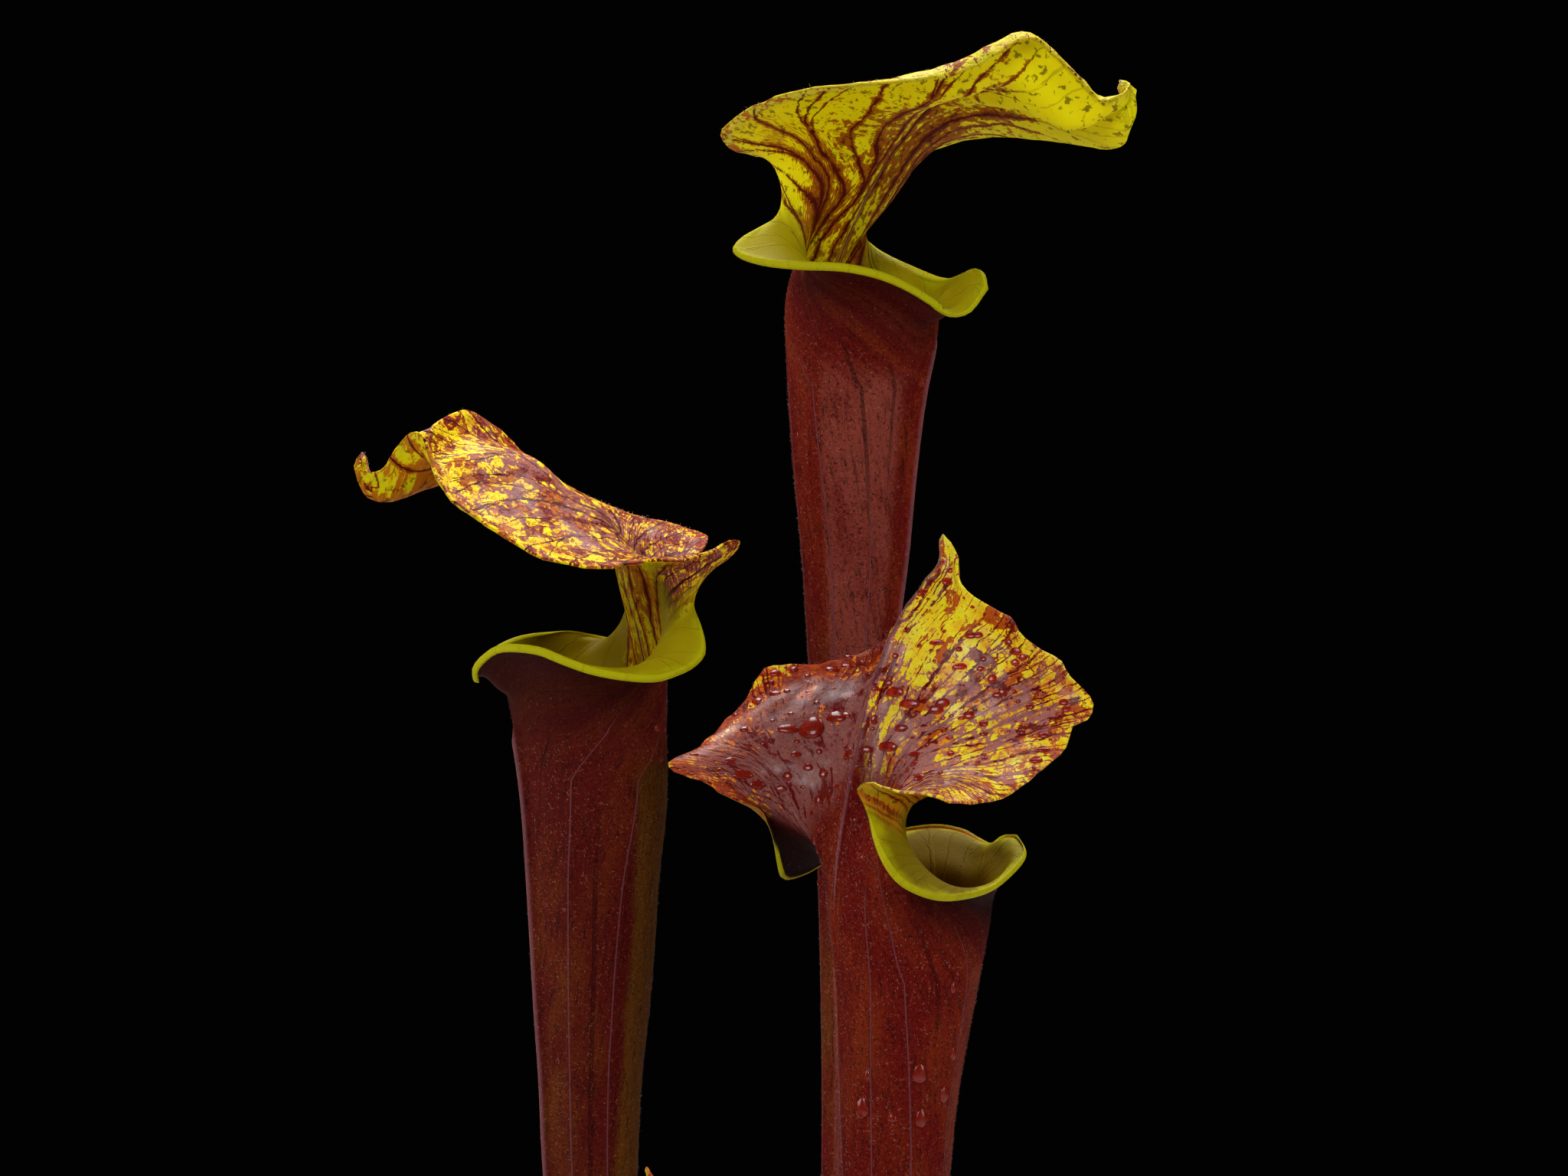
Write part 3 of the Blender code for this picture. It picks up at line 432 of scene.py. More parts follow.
def hood(leaf, side, us, rows):
    """Throat, flare, column and lid of one side: each line runs through a few guides up to the rim."""
    rim = rim_line(leaf, side, us)
    angle = line_angles(us)
    circle = np.stack([-np.cos(angle), side * np.sin(angle), 0 * angle], 1)
    keel = np.array([(x, 0, z) for x, z in leaf["keel"]], float)
    keel = np.concatenate([ring(leaf, THROAT_DROP * leaf["size"], circle)[:1], keel], 0)
    run = run_lengths(keel)
    fine = curve(run, keel, np.linspace(0, run[-1], KEEL_POINTS))
    at_waist = int(np.argmax(fine[:, 2] > leaf["waist"]))
    guides = lower_guides(leaf, us, circle, rim, fine)
    waist = waist_line(leaf, side, us, rim, guides[-1], fine[at_waist])
    guides.append(waist)

    # The lid spreads from the column: each line leaves along the keel and ends square to the rim
    a = np.clip(us / TIP_TO_NOTCH, 0, 1)
    rise = unit(fine[at_waist + 8] - fine[at_waist - 8])
    outward = unit(rim - fine[min(at_waist + 60, KEEL_POINTS - 1)])
    reach = np.linalg.norm(rim - waist, axis=1)[:, None]
    first = waist + rise * reach * 0.45
    second = rim - outward * reach * 0.33
    rest = fine[at_waist:]
    near_keel = (1 - a**1.3)[:, None] ** 1.5
    to_lip = ease((us - TIP_TO_NOTCH * 0.9) / (TIP_TO_NOTCH * 0.22))[:, None]
    belly = np.sin(np.pi * a**0.8)[:, None]
    margin = np.sin(np.pi * a**0.9)
    for t in GUIDE_STEPS:
        lid = (1 - t) ** 3 * waist + 3 * (1 - t) ** 2 * t * first + 3 * (1 - t) * t * t * second + t**3 * rim
        k = min(int(t * (len(rest) - 1)), len(rest) - 2)
        lid = lid + (rest[k] - lid[0]) * near_keel
        along = unit(rest[min(k + 5, len(rest) - 1)] - rest[max(k - 5, 0)])
        under = np.array([along[2], 0, -along[0]])
        lid = lid + under * belly * leaf["sag"][side] * math.sin(math.pi * min(1, t + 0.15)) ** 0.8
        if t > 0.85 and leaf["curl"][side] > 0:
            bent = rim + (guides[-1] - rim) * 0.45
            bent[:, 2] = rim[:, 2] + leaf["curl"][side] * margin
            hold = np.clip(margin * 2, 0, 1)[:, None]
            lid = lid * (1 - hold) + bent * hold
        flare = waist + (rim - waist) * t
        flare[:, 2] += math.sin(math.pi * t) * 1.5 * leaf["size"]
        guides.append(lid * (1 - to_lip) + flare * to_lip)
    guides = np.array(guides + [rim])
    lines = []
    for path in guides.swapaxes(0, 1):
        run = run_lengths(path)
        lines.append(curve(run, path, run[1] + (run[-1] - run[1]) * rows))
    return np.array(lines)


# %% The whole leaf as a sheet of lines
def smoothed(top, all_us, soft):
    """The hood, with the tight folds beside the notch eased out. Rim and throat stay where they are."""
    weight = SMOOTH_STRENGTH * np.exp(-((all_us - TIP_TO_NOTCH) / SMOOTH_SPREAD) ** 2)[:, None, None]
    # A finer sheet needs more rounds for the same result
    finer = len(all_us) / (2 * PLAIN_LINES_EACH_SIDE) * (top.shape[1] / PLAIN_HOOD_ROWS)
    rounds = soft * SMOOTH_ROUNDS * finer
    for _ in range(round(rounds)):
        across = (np.roll(top, 1, 0) + np.roll(top, -1, 0))[:, 1:-1]
        along = top[:, 2:] + top[:, :-2]
        top[:, 1:-1] += ((across + along) / 4 - top[:, 1:-1]) * weight
    return top


def leaf_sheet(leaf, lines_each_side, hood_rows, tube_rows):
    """The middle surface of the whole leaf, as [line, row], with the u of each line."""
    us = np.linspace(0, 1, lines_each_side + 1)
    rows = np.linspace(0, 1, hood_rows)
    left, right = hood(leaf, 1, us, rows), hood(leaf, -1, us, rows)
    top = turned(leaf, np.concatenate([left, right[::-1][1:-1]], 0))
    drops = tube_drops(leaf, tube_rows)[:-1]
    radius, shift = tube_at(leaf, drops)
    angle = line_angles(us)
    angle = np.concatenate([angle, 2 * np.pi - angle[::-1][1:-1]])[:, None]
    low = turned(leaf, np.stack([-radius * np.cos(angle), radius * np.sin(angle), -drops + 0 * angle], -1))
    low[..., :2] += shift
    all_us = np.concatenate([us, us[::-1][1:-1]])
    return np.concatenate([low, smoothed(top, all_us, leaf["soft"])], 1), all_us


def sheet_normals(sheet):
    along = np.roll(sheet, -1, axis=0) - np.roll(sheet, 1, axis=0)
    steps = np.diff(sheet, axis=1)
    up = np.concatenate([steps[:, :1], steps[:, 1:] + steps[:, :-1], steps[:, -1:]], 1)
    normal = np.cross(up, along)
    return normal / (np.linalg.norm(normal, axis=-1, keepdims=True) + 1e-12)


print("a coarse sheet has", leaf_sheet(LEAVES["tall_pitcher"], 20, 12, 8)[0].shape[:2], "lines and rows")

# %% [markdown]
# ## Puckers, ruffles and ridges
#
# A real lid isn't smooth: it is puckered between its veins and ruffled along its margin. These are real bumps
# of half a millimetre, so they are moved into the sheet itself and show in the outline. The finer grain comes
# later, from the material.

# %% Measure every point of a sheet
LID_BEGINS = 1.42
NOTCH_WIDTH = 0.08


def leaf_measures(sheet, all_us, tube_rows):
    """Lengths along and across the sheet at each point, how far up it is, and how far into the lid."""
    count, depth = sheet.shape[:2]
    along = np.array([run_lengths(line) for line in sheet])
    gaps = np.linalg.norm(np.roll(sheet, -1, axis=0) - sheet, axis=2)
    front = count // 2
    left, right = [np.concatenate([np.zeros((1, depth)), np.cumsum(side[:front], axis=0)], 0)
                   for side in (gaps, gaps[::-1])]
    climb = np.concatenate([np.arange(tube_rows + 1) / tube_rows,
                            1 + np.arange(1, depth - tube_rows) / (depth - 1 - tube_rows)])
    in_lid = ease((climb[None] - LID_BEGINS) / 0.2) * (1 - ease((all_us[:, None] - 0.5) / NOTCH_WIDTH))
    return {"along": along, "to_rim": along[:, -1:] - along, "left": left, "right": right,
            "span": (gaps + np.roll(gaps, 1, axis=0)) / 2 * front, "climb": climb, "in_lid": in_lid}


# %% [markdown]
# The veins of the lid run straight out from its foot in a fan, and the lines of the sheet don't: they keep
# close to the keel and then bend away to the rim. So each point also knows which place on the rim its vein
# runs to. In the column the veins follow the lines of the sheet again.

# %% The fan of veins in the lid
FAN_FOOT = 1.3
FAN_BEGINS = 1.36
FAN_OPEN = 1.8
FAN_RADIUS = 30.0


def turn_from_keel(points, keel):
    """The angle at the fan's foot between each point and the keel, which bends with the lid."""
    foot = keel[0]
    away = np.linalg.norm(points - foot, axis=-1)
    run = np.maximum.accumulate(np.linalg.norm(keel - foot, axis=1)) + 1e-6 * np.arange(len(keel))
    beside = np.stack([np.interp(away, run, keel[:, axis]) for axis in range(3)], -1)
    beside = foot + (beside - foot) * np.maximum(away / run[-1], 1.0)[..., None]
    chord = np.linalg.norm(points - beside, axis=-1)
    return 2 * np.arcsin(np.clip(chord / (2 * np.maximum(away, 1e-6)), 0, 1))


def vein_fan(sheet, all_us, climb):
    """The u of the rim that the vein of each point runs to, the angle of the vein, and how open the fan is."""
    count, front = len(all_us), len(all_us) // 2
    angle = turn_from_keel(sheet, sheet[0, int(np.argmax(climb >= FAN_FOOT)):])
    fan = np.repeat(all_us[:, None], len(climb), 1)
    for side in (np.arange(front + 1), np.concatenate([[0], np.arange(count - 1, front - 1, -1)])):
        lid = side[all_us[side] <= TIP_TO_NOTCH]
        on_rim = np.maximum.accumulate(angle[lid, -1]) + 1e-5 * np.arange(len(lid))
        fan[side] = np.interp(angle[side], on_rim, all_us[lid])
    still = 1 - ease((all_us[:, None] - 0.38) / 0.08)
    open_share = ease((climb[None] - FAN_BEGINS) / (FAN_OPEN - FAN_BEGINS)) * still
    return all_us[:, None] * (1 - open_share) + fan * open_share, angle, open_share


def steps_across(sheet, field):
    """How many millimetres a field takes to change by one, straight across its lines."""
    (a, b), (fa, fb) = [(np.roll(x, -1, 0) - x, np.diff(x, axis=1, append=2 * x[:, -1:] - x[:, -2:-1]))
                        for x in (sheet, field)]
    e, f, g = np.sum(a * a, -1), np.sum(a * b, -1), np.sum(b * b, -1)
    slope = np.sqrt(np.maximum(g * fa**2 - 2 * f * fa * fb + e * fb**2, 0) / np.maximum(e * g - f * f, 1e-9))
    slope = (slope + np.roll(slope, 1, 0)) / 2
    for _ in range(3):
        slope = (np.roll(slope, 1, 0) + 2 * slope + np.roll(slope, -1, 0)) / 4
    return np.clip(1 / np.maximum(slope, 1e-6), 5.0, 900.0)


# %% Pucker the lid and ruffle its margin
PUCKER_HEIGHT = 0.55
RUFFLE_HEIGHT = 0.75
BEAD_HEIGHT = 0.85


def pucker(sheet, normal, size, measures, seed):
    def bumpy(scale, more):
        """Smooth noise at each point, between about minus one and one."""
        flat = sheet.reshape(-1, 3) / (scale * size) + (seed + more)
        return np.array([noise.noise(Vector(p)) for p in flat]).reshape(sheet.shape[:2])

    edge, hem = [np.exp(-(measures["to_rim"] / (reach * size)) ** 2) for reach in (5.0, 3.0)]
    lift = PUCKER_HEIGHT * (0.9 * bumpy(5.5, 0) + 0.5 * bumpy(2.6, 7.3)) * (1 - 0.4 * edge)
    lift += RUFFLE_HEIGHT * bumpy(9.0, 3.1) * edge + BEAD_HEIGHT * bumpy(2.1, 5.9) * hem
    return sheet + normal * (lift * measures["in_lid"] * size)[..., None]


# %% [markdown]
# ## Nerves and furrows
#
# A few strong nerves stand out along each tube, and some furrows lie between them. Each is a list of places,
# given as how far up the leaf and how far round from the back, with the left side counted positive. On the
# side that the photograph doesn't show, the leaves have much the same nerves.

# %% Where the nerves and furrows run
PATH_STEPS = 28
NERVE_SWELL = 0.45
NERVE_SPREAD = 1.7
NERVES = {
    "tall_pitcher": [
        ((1.22, -0.38), (1.18, -0.49), (1.12, -0.57), (1.04, -0.605), (0.97, -0.65), (0.89, -0.70),
         (0.0, -0.72)),
        ((0.97, -0.82), (0.91, -0.84), (0.85, -0.845), (0.0, -0.85)),
        ((1.10, -0.46), (0.98, -0.47), (0.0, -0.45)),
        ((1.20, 0.42), (1.10, 0.56), (0.95, 0.64), (0.80, 0.68), (0.0, 0.70)),
        ((1.30, 0.10), (1.00, 0.20), (0.0, 0.22)),
    ],
    "left_pitcher": [
        ((1.40, 0.69), (1.34, 0.71), (1.25, 0.75), (1.13, 0.80), (0.95, 0.85), (0.80, 0.86), (0.0, 0.86)),
        ((1.22, 0.44), (1.10, 0.57), (0.93, 0.68), (0.82, 0.71), (0.0, 0.70)),
        ((1.35, -0.68), (1.14, -0.78), (0.95, -0.83), (0.0, -0.84)),
        ((1.20, -0.40), (1.00, -0.55), (0.80, -0.60), (0.0, -0.60)),
    ],
    "front_pitcher": [
        ((1.45, -0.36), (1.37, -0.41), (1.23, -0.48), (1.07, -0.52), (0.96, -0.58), (0.84, -0.64),
         (0.0, -0.66)),
        ((1.30, -0.34), (1.07, -0.37), (0.96, -0.40), (0.84, -0.42), (0.0, -0.42)),
        ((2.00, 0.00), (1.30, 0.00), (1.16, 0.02), (1.00, 0.20), (0.84, 0.22), (0.0, 0.22)),
        ((1.35, -0.70), (1.29, -0.73), (1.14, -0.77), (0.96, -0.79), (0.0, -0.80)),
    ],
    "small_pitcher": [((1.20, 0.60), (0.95, 0.70), (0.0, 0.70)), ((1.20, -0.60), (0.95, -0.70), (0.0, -0.70))],
}
FURROWS = {
    "tall_pitcher": [((1.31, -0.73), (1.18, -0.75), (1.02, -0.78), (0.93, -0.83), (0.86, -0.84)),
                     ((1.25, -0.86), (1.0, -0.89), (0.9, -0.90))],
    "left_pitcher": [((1.34, 0.87), (1.15, 0.91), (1.03, 0.93)), ((1.0, 0.76), (0.91, 0.77), (0.5, 0.79))],
    "front_pitcher": [((1.25, -0.60), (1.05, -0.66), (0.9, -0.71)), ((1.1, -0.86), (0.8, -0.88))],
    "small_pitcher": [],
}


def smooth_path(line):
    """Even climbs up a nerve or furrow, with the bends of its places rounded off."""
    climbs, places = zip(*line[::-1])
    even = np.linspace(climbs[0], climbs[-1], PATH_STEPS)
    places = np.interp(even, climbs, places)
    for _ in range(3):
        places[1:-1] = (places[:-2] + 2 * places[1:-1] + places[2:]) / 4
    return even, places


# %% Take the crease out at the throat
def faired(sheet, tube_rows, size):
    """Each line is eased where its tube ends and its mouth begins."""
    reach = 6.0 * size
    out = sheet.copy()
    for line, smooth in zip(sheet, out):
        at = run_lengths(line)
        even = np.arange(0.0, at[-1], size)
        dense = np.stack([np.interp(even, at, line[:, axis]) for axis in range(3)], 1)
        for row in range(tube_rows - 8, tube_rows + 26):
            weight = math.exp(-((at[row] - at[tube_rows]) / (3.2 * reach)) ** 4)
            share = np.exp(-0.5 * ((even - at[row]) / reach) ** 2)
            smooth[row] += weight * (share @ dense / share.sum() - line[row])
    return out


# %% [markdown]
# ## From the sheet to a leaf with thickness
#
# The sheet is only the middle of the leaf. Half the thickness goes to each side, a round bead closes the rim,
# thick at the lip and thin round the lid, and ridges stand along the tube where its main nerves run. The
# widest ridge is the wing down the front.
#
# A Solidify modifier would be quicker, but it can't thicken the lip or tell the inside from the outside, and
# the two faces have very different colours here.

# %% The bead round the rim and the ridges
BEAD_ANGLES = (80, 55, 30, 10, -10, -30, -55, -80)


def rim_beads(sheet, normal, thin, all_us, size):
    """Rings of points over the rim, from the outer face to the inner face, and the share of lip."""
    share = ease((all_us - TIP_TO_NOTCH - 0.01) / (TIP_TO_EAR - TIP_TO_NOTCH))
    hem, lip = HEM_RADIUS * max(size, 0.75), LIP_RADIUS * max(size, 0.5)
    bead = np.maximum((hem + (lip - hem) * share) * thin, LEAF_THINNEST / 2)[:, None]
    out = unit(sheet[:, -1] - sheet[:, -2])
    for _ in range(8):
        out = unit((np.roll(out, 1, 0) + 2 * out + np.roll(out, -1, 0)) / 4)
    top = unit(normal[:, -1] - out * np.sum(normal[:, -1] * out, axis=1, keepdims=True))
    centre = sheet[:, -1] - out * bead
    turns = np.radians(BEAD_ANGLES)
    return [centre + (out * math.cos(turn) + top * math.sin(turn)) * bead for turn in turns], share


def ridge_heights(name, size, all_us, measures):
    """Heights of wing and nerves in millimetres, wing and keel as a mask, and the height of the keel."""
    count = len(all_us)
    climb, span = measures["climb"][None], measures["span"]
    signed = (all_us * np.where(np.arange(count) < count // 2, 1, -1))[:, None]
    on_tube = ease(climb * 12) * (1 - ease((climb - 1.25) / 0.3))

    def ridge(apart, wide):
        return np.exp(-(apart * span / (wide * size)) ** 2)

    height = WING_HEIGHT * size * ridge(1 - np.abs(signed), 1.1) * on_tube
    for line in NERVES[name]:
        climbs, places = smooth_path(line)
        nerve = ridge(signed - np.interp(climb, climbs, places), NERVE_SPREAD)
        height += NERVE_SWELL * size * nerve * ease((climbs[-1] - climb) * 8)
    keel = ridge(all_us[:, None], 0.55) * ease((climb - 1.05) / 0.2)
    return height, np.maximum(ridge(1 - np.abs(signed), 0.9) * on_tube, keel), keel * 0.35 * size


# %% [markdown]
# ## Faces, and a map on every face
#
# Each face carries three maps for the material. One holds u and how far up the line the point is, one holds
# its vein, and one holds millimetres across and along, so patterns keep their size wherever they fall. Every
# point also knows whether it is on the outer face, on a ridge or on the lid, and how far it is from the rim.

# %% Pieces and their values
def new_piece(name, points, faces, smooth=True):
    """A mesh object from points in millimetres."""
    mesh = bpy.data.meshes.new(name)
    mesh.from_pydata((np.asarray(points, float) * MM).tolist(), [], faces)
    mesh.polygons.foreach_set("use_smooth", np.full(len(mesh.polygons), smooth))
    thing = bpy.data.objects.new(name, mesh)
    bpy.context.scene.collection.objects.link(thing)
    return thing


def point_values(thing, title, field):
    """One number for each point, which a material can read."""
    layer = thing.data.attributes.new(title, "FLOAT", "POINT")
    layer.data.foreach_set("value", np.asarray(field, np.float32))


# %% The maps of a leaf
def leaf_maps(all_us, measures):
    """Two numbers per point for each map, as seen from the faces on its line and from those before it."""
    count = len(all_us)
    front = count // 2
    i = np.arange(count)
    j = (i + 1) % count
    on_left = (i < front)[:, None]
    flip = np.where(on_left, 1.0, -1.0)
    climb, along, fan = measures["climb"][None], measures["along"], measures["fan"]
    # The millimetres across turn into the angle of the fan as the fan opens
    turn, flat = measures["angle"] * FAN_RADIUS * measures["open"], 1 - measures["open"]
    left, right = [measures[side] for side in ("left", "right")]
    across, next_across = [
        np.where(on_left, left[np.clip(i + step, 0, front)], right[np.clip(count - i - step, 0, front)])
        for step in (0, 1)]

    def pair(here, after):
        return np.stack([np.broadcast_to(field, along.shape) for field in (here, after)])

    return {"leaf": (pair(all_us[:, None] * flip, all_us[j, None] * flip), pair(climb, climb)),
            "fan": (pair(fan * flip, fan[j] * flip), pair(climb, climb)),
            "skin": (pair((across * flat + turn) * flip, (next_across * flat[j] + turn[j]) * flip),
                     pair(along, along[j]))}


def leaf_mesh(name, points, rows, maps, values):
    """The mesh of a leaf, from loops of points with each loop's row, and its maps and values."""
    count = maps["leaf"][0].shape[1]
    i = np.arange(count)
    j = (i + 1) % count
    last = (len(rows) - 1) * count
    foot, floor = len(points), len(points) + 1
    faces = [np.stack([a + i, a + count + i, a + count + j, a + j], 1) for a in range(0, last, count)]
    closing = np.concatenate([np.stack([foot + 0 * i, i, j], 1),
                              np.stack([floor + 0 * i, last + j, last + i], 1)])
    points = np.concatenate([points, [points[:count].mean(axis=0)], [points[last:].mean(axis=0)]], 0)
    thing = new_piece(name, points, np.concatenate(faces).tolist() + closing.tolist())
    for title, (u, v) in maps.items():
        corners = [([0, 0, 1, 1], slice(None), [low, high, high, low])
                   for low, high in zip(rows[:-1], rows[1:])]
        flat = [np.stack([u[corner], v[corner]], -1).swapaxes(0, 1).reshape(-1, 2) for corner in corners]
        flat.append(np.zeros((3 * len(closing), 2)))
        layer = thing.data.uv_layers.new(name=title)
        layer.data.foreach_set("uv", np.concatenate(flat).ravel().astype(np.float32))
    for title, field in values.items():
        point_values(thing, title, np.concatenate([field, [field[0], field[-1]]]))
    return thing


# %% Grow one leaf
HOLLOW_FROM_RADIUS = 5.6


def grow_leaf(name, leaf, lines_each_side, hood_rows, tube_rows, seed):
    size = leaf["size"]
    sheet, all_us = leaf_sheet(leaf, lines_each_side, hood_rows, tube_rows)
    sheet = faired(sheet, tube_rows, size)
    measures = leaf_measures(sheet, all_us, tube_rows)
    measures["fan"], measures["angle"], measures["open"] = vein_fan(sheet, all_us, measures["climb"])
    measures["fan_gap"] = steps_across(sheet, measures["fan"])
    sheet = pucker(sheet, sheet_normals(sheet), size, measures, seed)
    normal = sheet_normals(sheet)
    count, depth = sheet.shape[:2]

    near_notch = np.exp(-((all_us - TIP_TO_NOTCH) / 0.09) ** 2)
    in_hood = (measures["climb"] >= 1)[None]
    half = LEAF_THICKNESS * max(size, 0.8) / 2 * (1 - NOTCH_THINNER * near_notch[:, None] * in_hood)
    half = np.maximum(half, LEAF_THINNEST / 2)
    height, ridge, keel = ridge_heights(name, size, all_us, measures)
    outer = sheet + normal * (half + height + keel)[..., None]
    inner = sheet - normal * (half + keel * 0.8)[..., None]
    rings, lip = rim_beads(sheet, normal, 1 - NOTCH_THINNER * near_notch, all_us, size)
    radius, _ = tube_at(leaf, tube_drops(leaf, tube_rows))
    hollow = list(range(depth - 2, int(np.argmax(radius[1:-1] > HOLLOW_FROM_RADIUS)), -1))

    rows = list(range(depth - 1)) + [depth - 1] * len(rings) + hollow
    loops = [outer[:, k] for k in range(depth - 1)] + rings + [inner[:, k] for k in hollow]
    facing = np.concatenate([np.ones(depth - 1), np.linspace(0.9, 0.1, len(rings)), np.zeros(len(hollow))])
    facing = np.repeat(facing, count)
    # At the mouth the whole bead has the inner face's colour
    facing *= 1 - np.tile(lip, len(loops)) * (facing < 0.95)
    values = {title: measures[title][:, rows].T.ravel() for title in ("to_rim", "span", "in_lid", "fan_gap")}
    values.update(outside=facing, ridge=ridge[:, rows].T.ravel())
    thing = leaf_mesh(name + "_leaf", np.concatenate(loops), rows, leaf_maps(all_us, measures), values)
    print(name, "has", len(thing.data.polygons), "faces")
    return thing, (outer, normal, measures)


# %% [markdown]
# The fine leaves take the places of the plain solids, which stay in the plant's own measure and weight.

# %% Grow all four leaves
FINE = {"lines_each_side": 100, "hood_rows": 84, "tube_rows": 56}
YOUNG_FINE = {"lines_each_side": 56, "hood_rows": 48, "tube_rows": 30}

leaves, outer_faces = {}, {}
for seed, (name, leaf) in enumerate(LEAVES.items()):
    fine = YOUNG_FINE if name == "small_pitcher" else FINE
    grown, outer_faces[name] = grow_leaf(name, leaf, **fine, seed=11.7 * (seed + 1))
    leaves[name] = grown
    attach(grown, "root")
    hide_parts(name)

# %% [markdown]
# ## Colours that grow with the leaf
#
# The colours come from shader nodes, so they stay sharp at any distance. Two short classes make the wiring
# easy to read: a bench adds nodes to one material, and what comes out of a node is a wire, which can be added
# and multiplied as a number can. Each such sum is one more node.

# %% Colours as the eye sees them
def paint(red, green, blue):
    """A colour as the eye sees it, from 0 to 255, in the linear values that Blender works with."""
    shares = [c / 255 for c in (red, green, blue)]
    return (*(c / 12.92 if c <= 0.04045 else ((c + 0.055) / 1.055) ** 2.4 for c in shares), 1.0)


print("the lip's yellow-green is", [round(c, 3) for c in paint(165, 165, 50)[:3]])


# %% Wires that can be summed
class Wire:
    """An output of a node on a bench."""

    def __init__(self, bench, socket):
        self.bench, self.socket = bench, socket

    def __add__(self, other):
        return self.bench.maths("ADD", self, other)

    def __sub__(self, other):
        return self.bench.maths("SUBTRACT", self, other)

    def __rsub__(self, other):
        return self.bench.maths("SUBTRACT", other, self)

    def __mul__(self, other):
        return self.bench.maths("MULTIPLY", self, other)

    def __truediv__(self, other):
        return self.bench.maths("DIVIDE", self, other)

    def __rtruediv__(self, other):
        return self.bench.maths("DIVIDE", other, self)

    def __abs__(self):
        return self.bench.maths("ABSOLUTE", self)

    __radd__, __rmul__ = __add__, __mul__


# %% A bench to wire nodes on
class Bench:
    """Adds nodes to one tree. Values are numbers, colours or wires."""

    def __init__(self, tree):
        self.tree = tree

    def put(self, socket, value):
        if isinstance(value, Wire):
            self.tree.links.new(value.socket, socket)
        else:
            socket.default_value = value

    def add(self, kind, inputs=None, **settings):
        made = self.tree.nodes.new("ShaderNode" + kind)
        for title, value in settings.items():
            setattr(made, title, value)
        for title, value in (inputs or {}).items():
            self.put(made.inputs[title], value)
        return made

    def out(self, kind, output, inputs=None, **settings):
        return Wire(self, self.add(kind, inputs, **settings).outputs[output])

    def maths(self, operation, *values):
        return self.out("Math", 0, dict(enumerate(values)), operation=operation)

    def most(self, *values):
        return self.maths("MAXIMUM", *values)

    def vector(self, operation, *values):
        return self.out("VectorMath", 0, dict(enumerate(values)), operation=operation)

    def part(self, vector, axis):
        return self.out("SeparateXYZ", axis, {"Vector": vector})

    def fade(self, value, low, high):
        """Rises softly from 0 at low to 1 at high. With high below low it falls instead."""
        inputs = {"Value": value, "From Min": low, "From Max": high}
        return self.out("MapRange", "Result", inputs, interpolation_type="SMOOTHSTEP")

    def blend(self, share, a, b):
        return self.out("Mix", 2, {0: share, 6: a, 7: b}, data_type="RGBA")

    def between(self, share, a, b):
        return self.out("Mix", 0, {0: share, 2: a, 3: b}, data_type="FLOAT")

    def noise(self, vector, scale, detail=3.0, rough=0.55, swirl=0.0, stretch=None):
        if stretch:
            vector = self.vector("MULTIPLY", vector, stretch)
        return self.out("TexNoise", "Fac", {"Vector": vector, "Scale": scale, "Detail": detail,
                                            "Roughness": rough, "Distortion": swirl})

    def read(self, title):
        return self.out("Attribute", "Fac", attribute_name=title)

    def map(self, title):
        return self.out("UVMap", "UV", uv_map=title)

    def group(self, tree, **inputs):
        """A node group, as its outputs by name."""
        made = self.add("Group", node_tree=tree)
        for title, value in inputs.items():
            self.put(made.inputs[title], value)
        return {socket.name: Wire(self, socket) for socket in made.outputs}


# %% Start a node group or a material
def new_group(title, inputs, outputs):
    """A node group with named sockets: its tree, its bench and its inputs as wires."""
    tree = bpy.data.node_groups.new(title, "ShaderNodeTree")
    for label in inputs:
        kind = "NodeSocketVector" if label == "Place" else "NodeSocketFloat"
        tree.interface.new_socket(label, in_out="INPUT", socket_type=kind)
    for label in outputs:
        tree.interface.new_socket(label, in_out="OUTPUT", socket_type="NodeSocketFloat")
    b = Bench(tree)
    start = tree.nodes.new("NodeGroupInput")
    return tree, b, [Wire(b, start.outputs[label]) for label in inputs]


def close_group(tree, b, **outputs):
    end = tree.nodes.new("NodeGroupOutput")
    for label, value in outputs.items():
        b.put(end.inputs[label], value)
    return tree


def new_material(title, **values):
    """A material, its bench, its shader and the place on the object. Values go to the shader's own sockets."""
    material = bpy.data.materials.new(title)
    material.use_nodes = True
    b = Bench(material.node_tree)
    shader = material.node_tree.nodes["Principled BSDF"]
    for label, value in values.items():
        shader.inputs[label.replace("_", " ")].default_value = value
    return material, b, shader, b.out("TexCoord", "Object")


def roughen(b, shader, height, distance, strength=1.0):
    """Low relief from a bump. The height is in steps of the distance, which is in metres."""
    bump = {"Height": height, "Strength": strength, "Distance": distance}
    b.put(shader.inputs["Normal"], b.out("Bump", "Normal", bump))

# %% [markdown]
# ## Veins that fork
#
# Veins leave the column side by side and fork again and again on their way to the margin. The group below
# draws them from two numbers: which place across the leaf a point has, counted in veins, and how far up it
# is. At each fork a new vein leaves its neighbour and swings over to the middle of the gap, so the gaps stay
# about alike.
#
# A branching picture could be drawn by hand, but it would need an image. The formula stays sharp, and every
# leaf can have its own count and width.

# %% The forking veins as a node group
VEIN_WIDTHS = (1.0, 0.7, 0.5, 0.36)


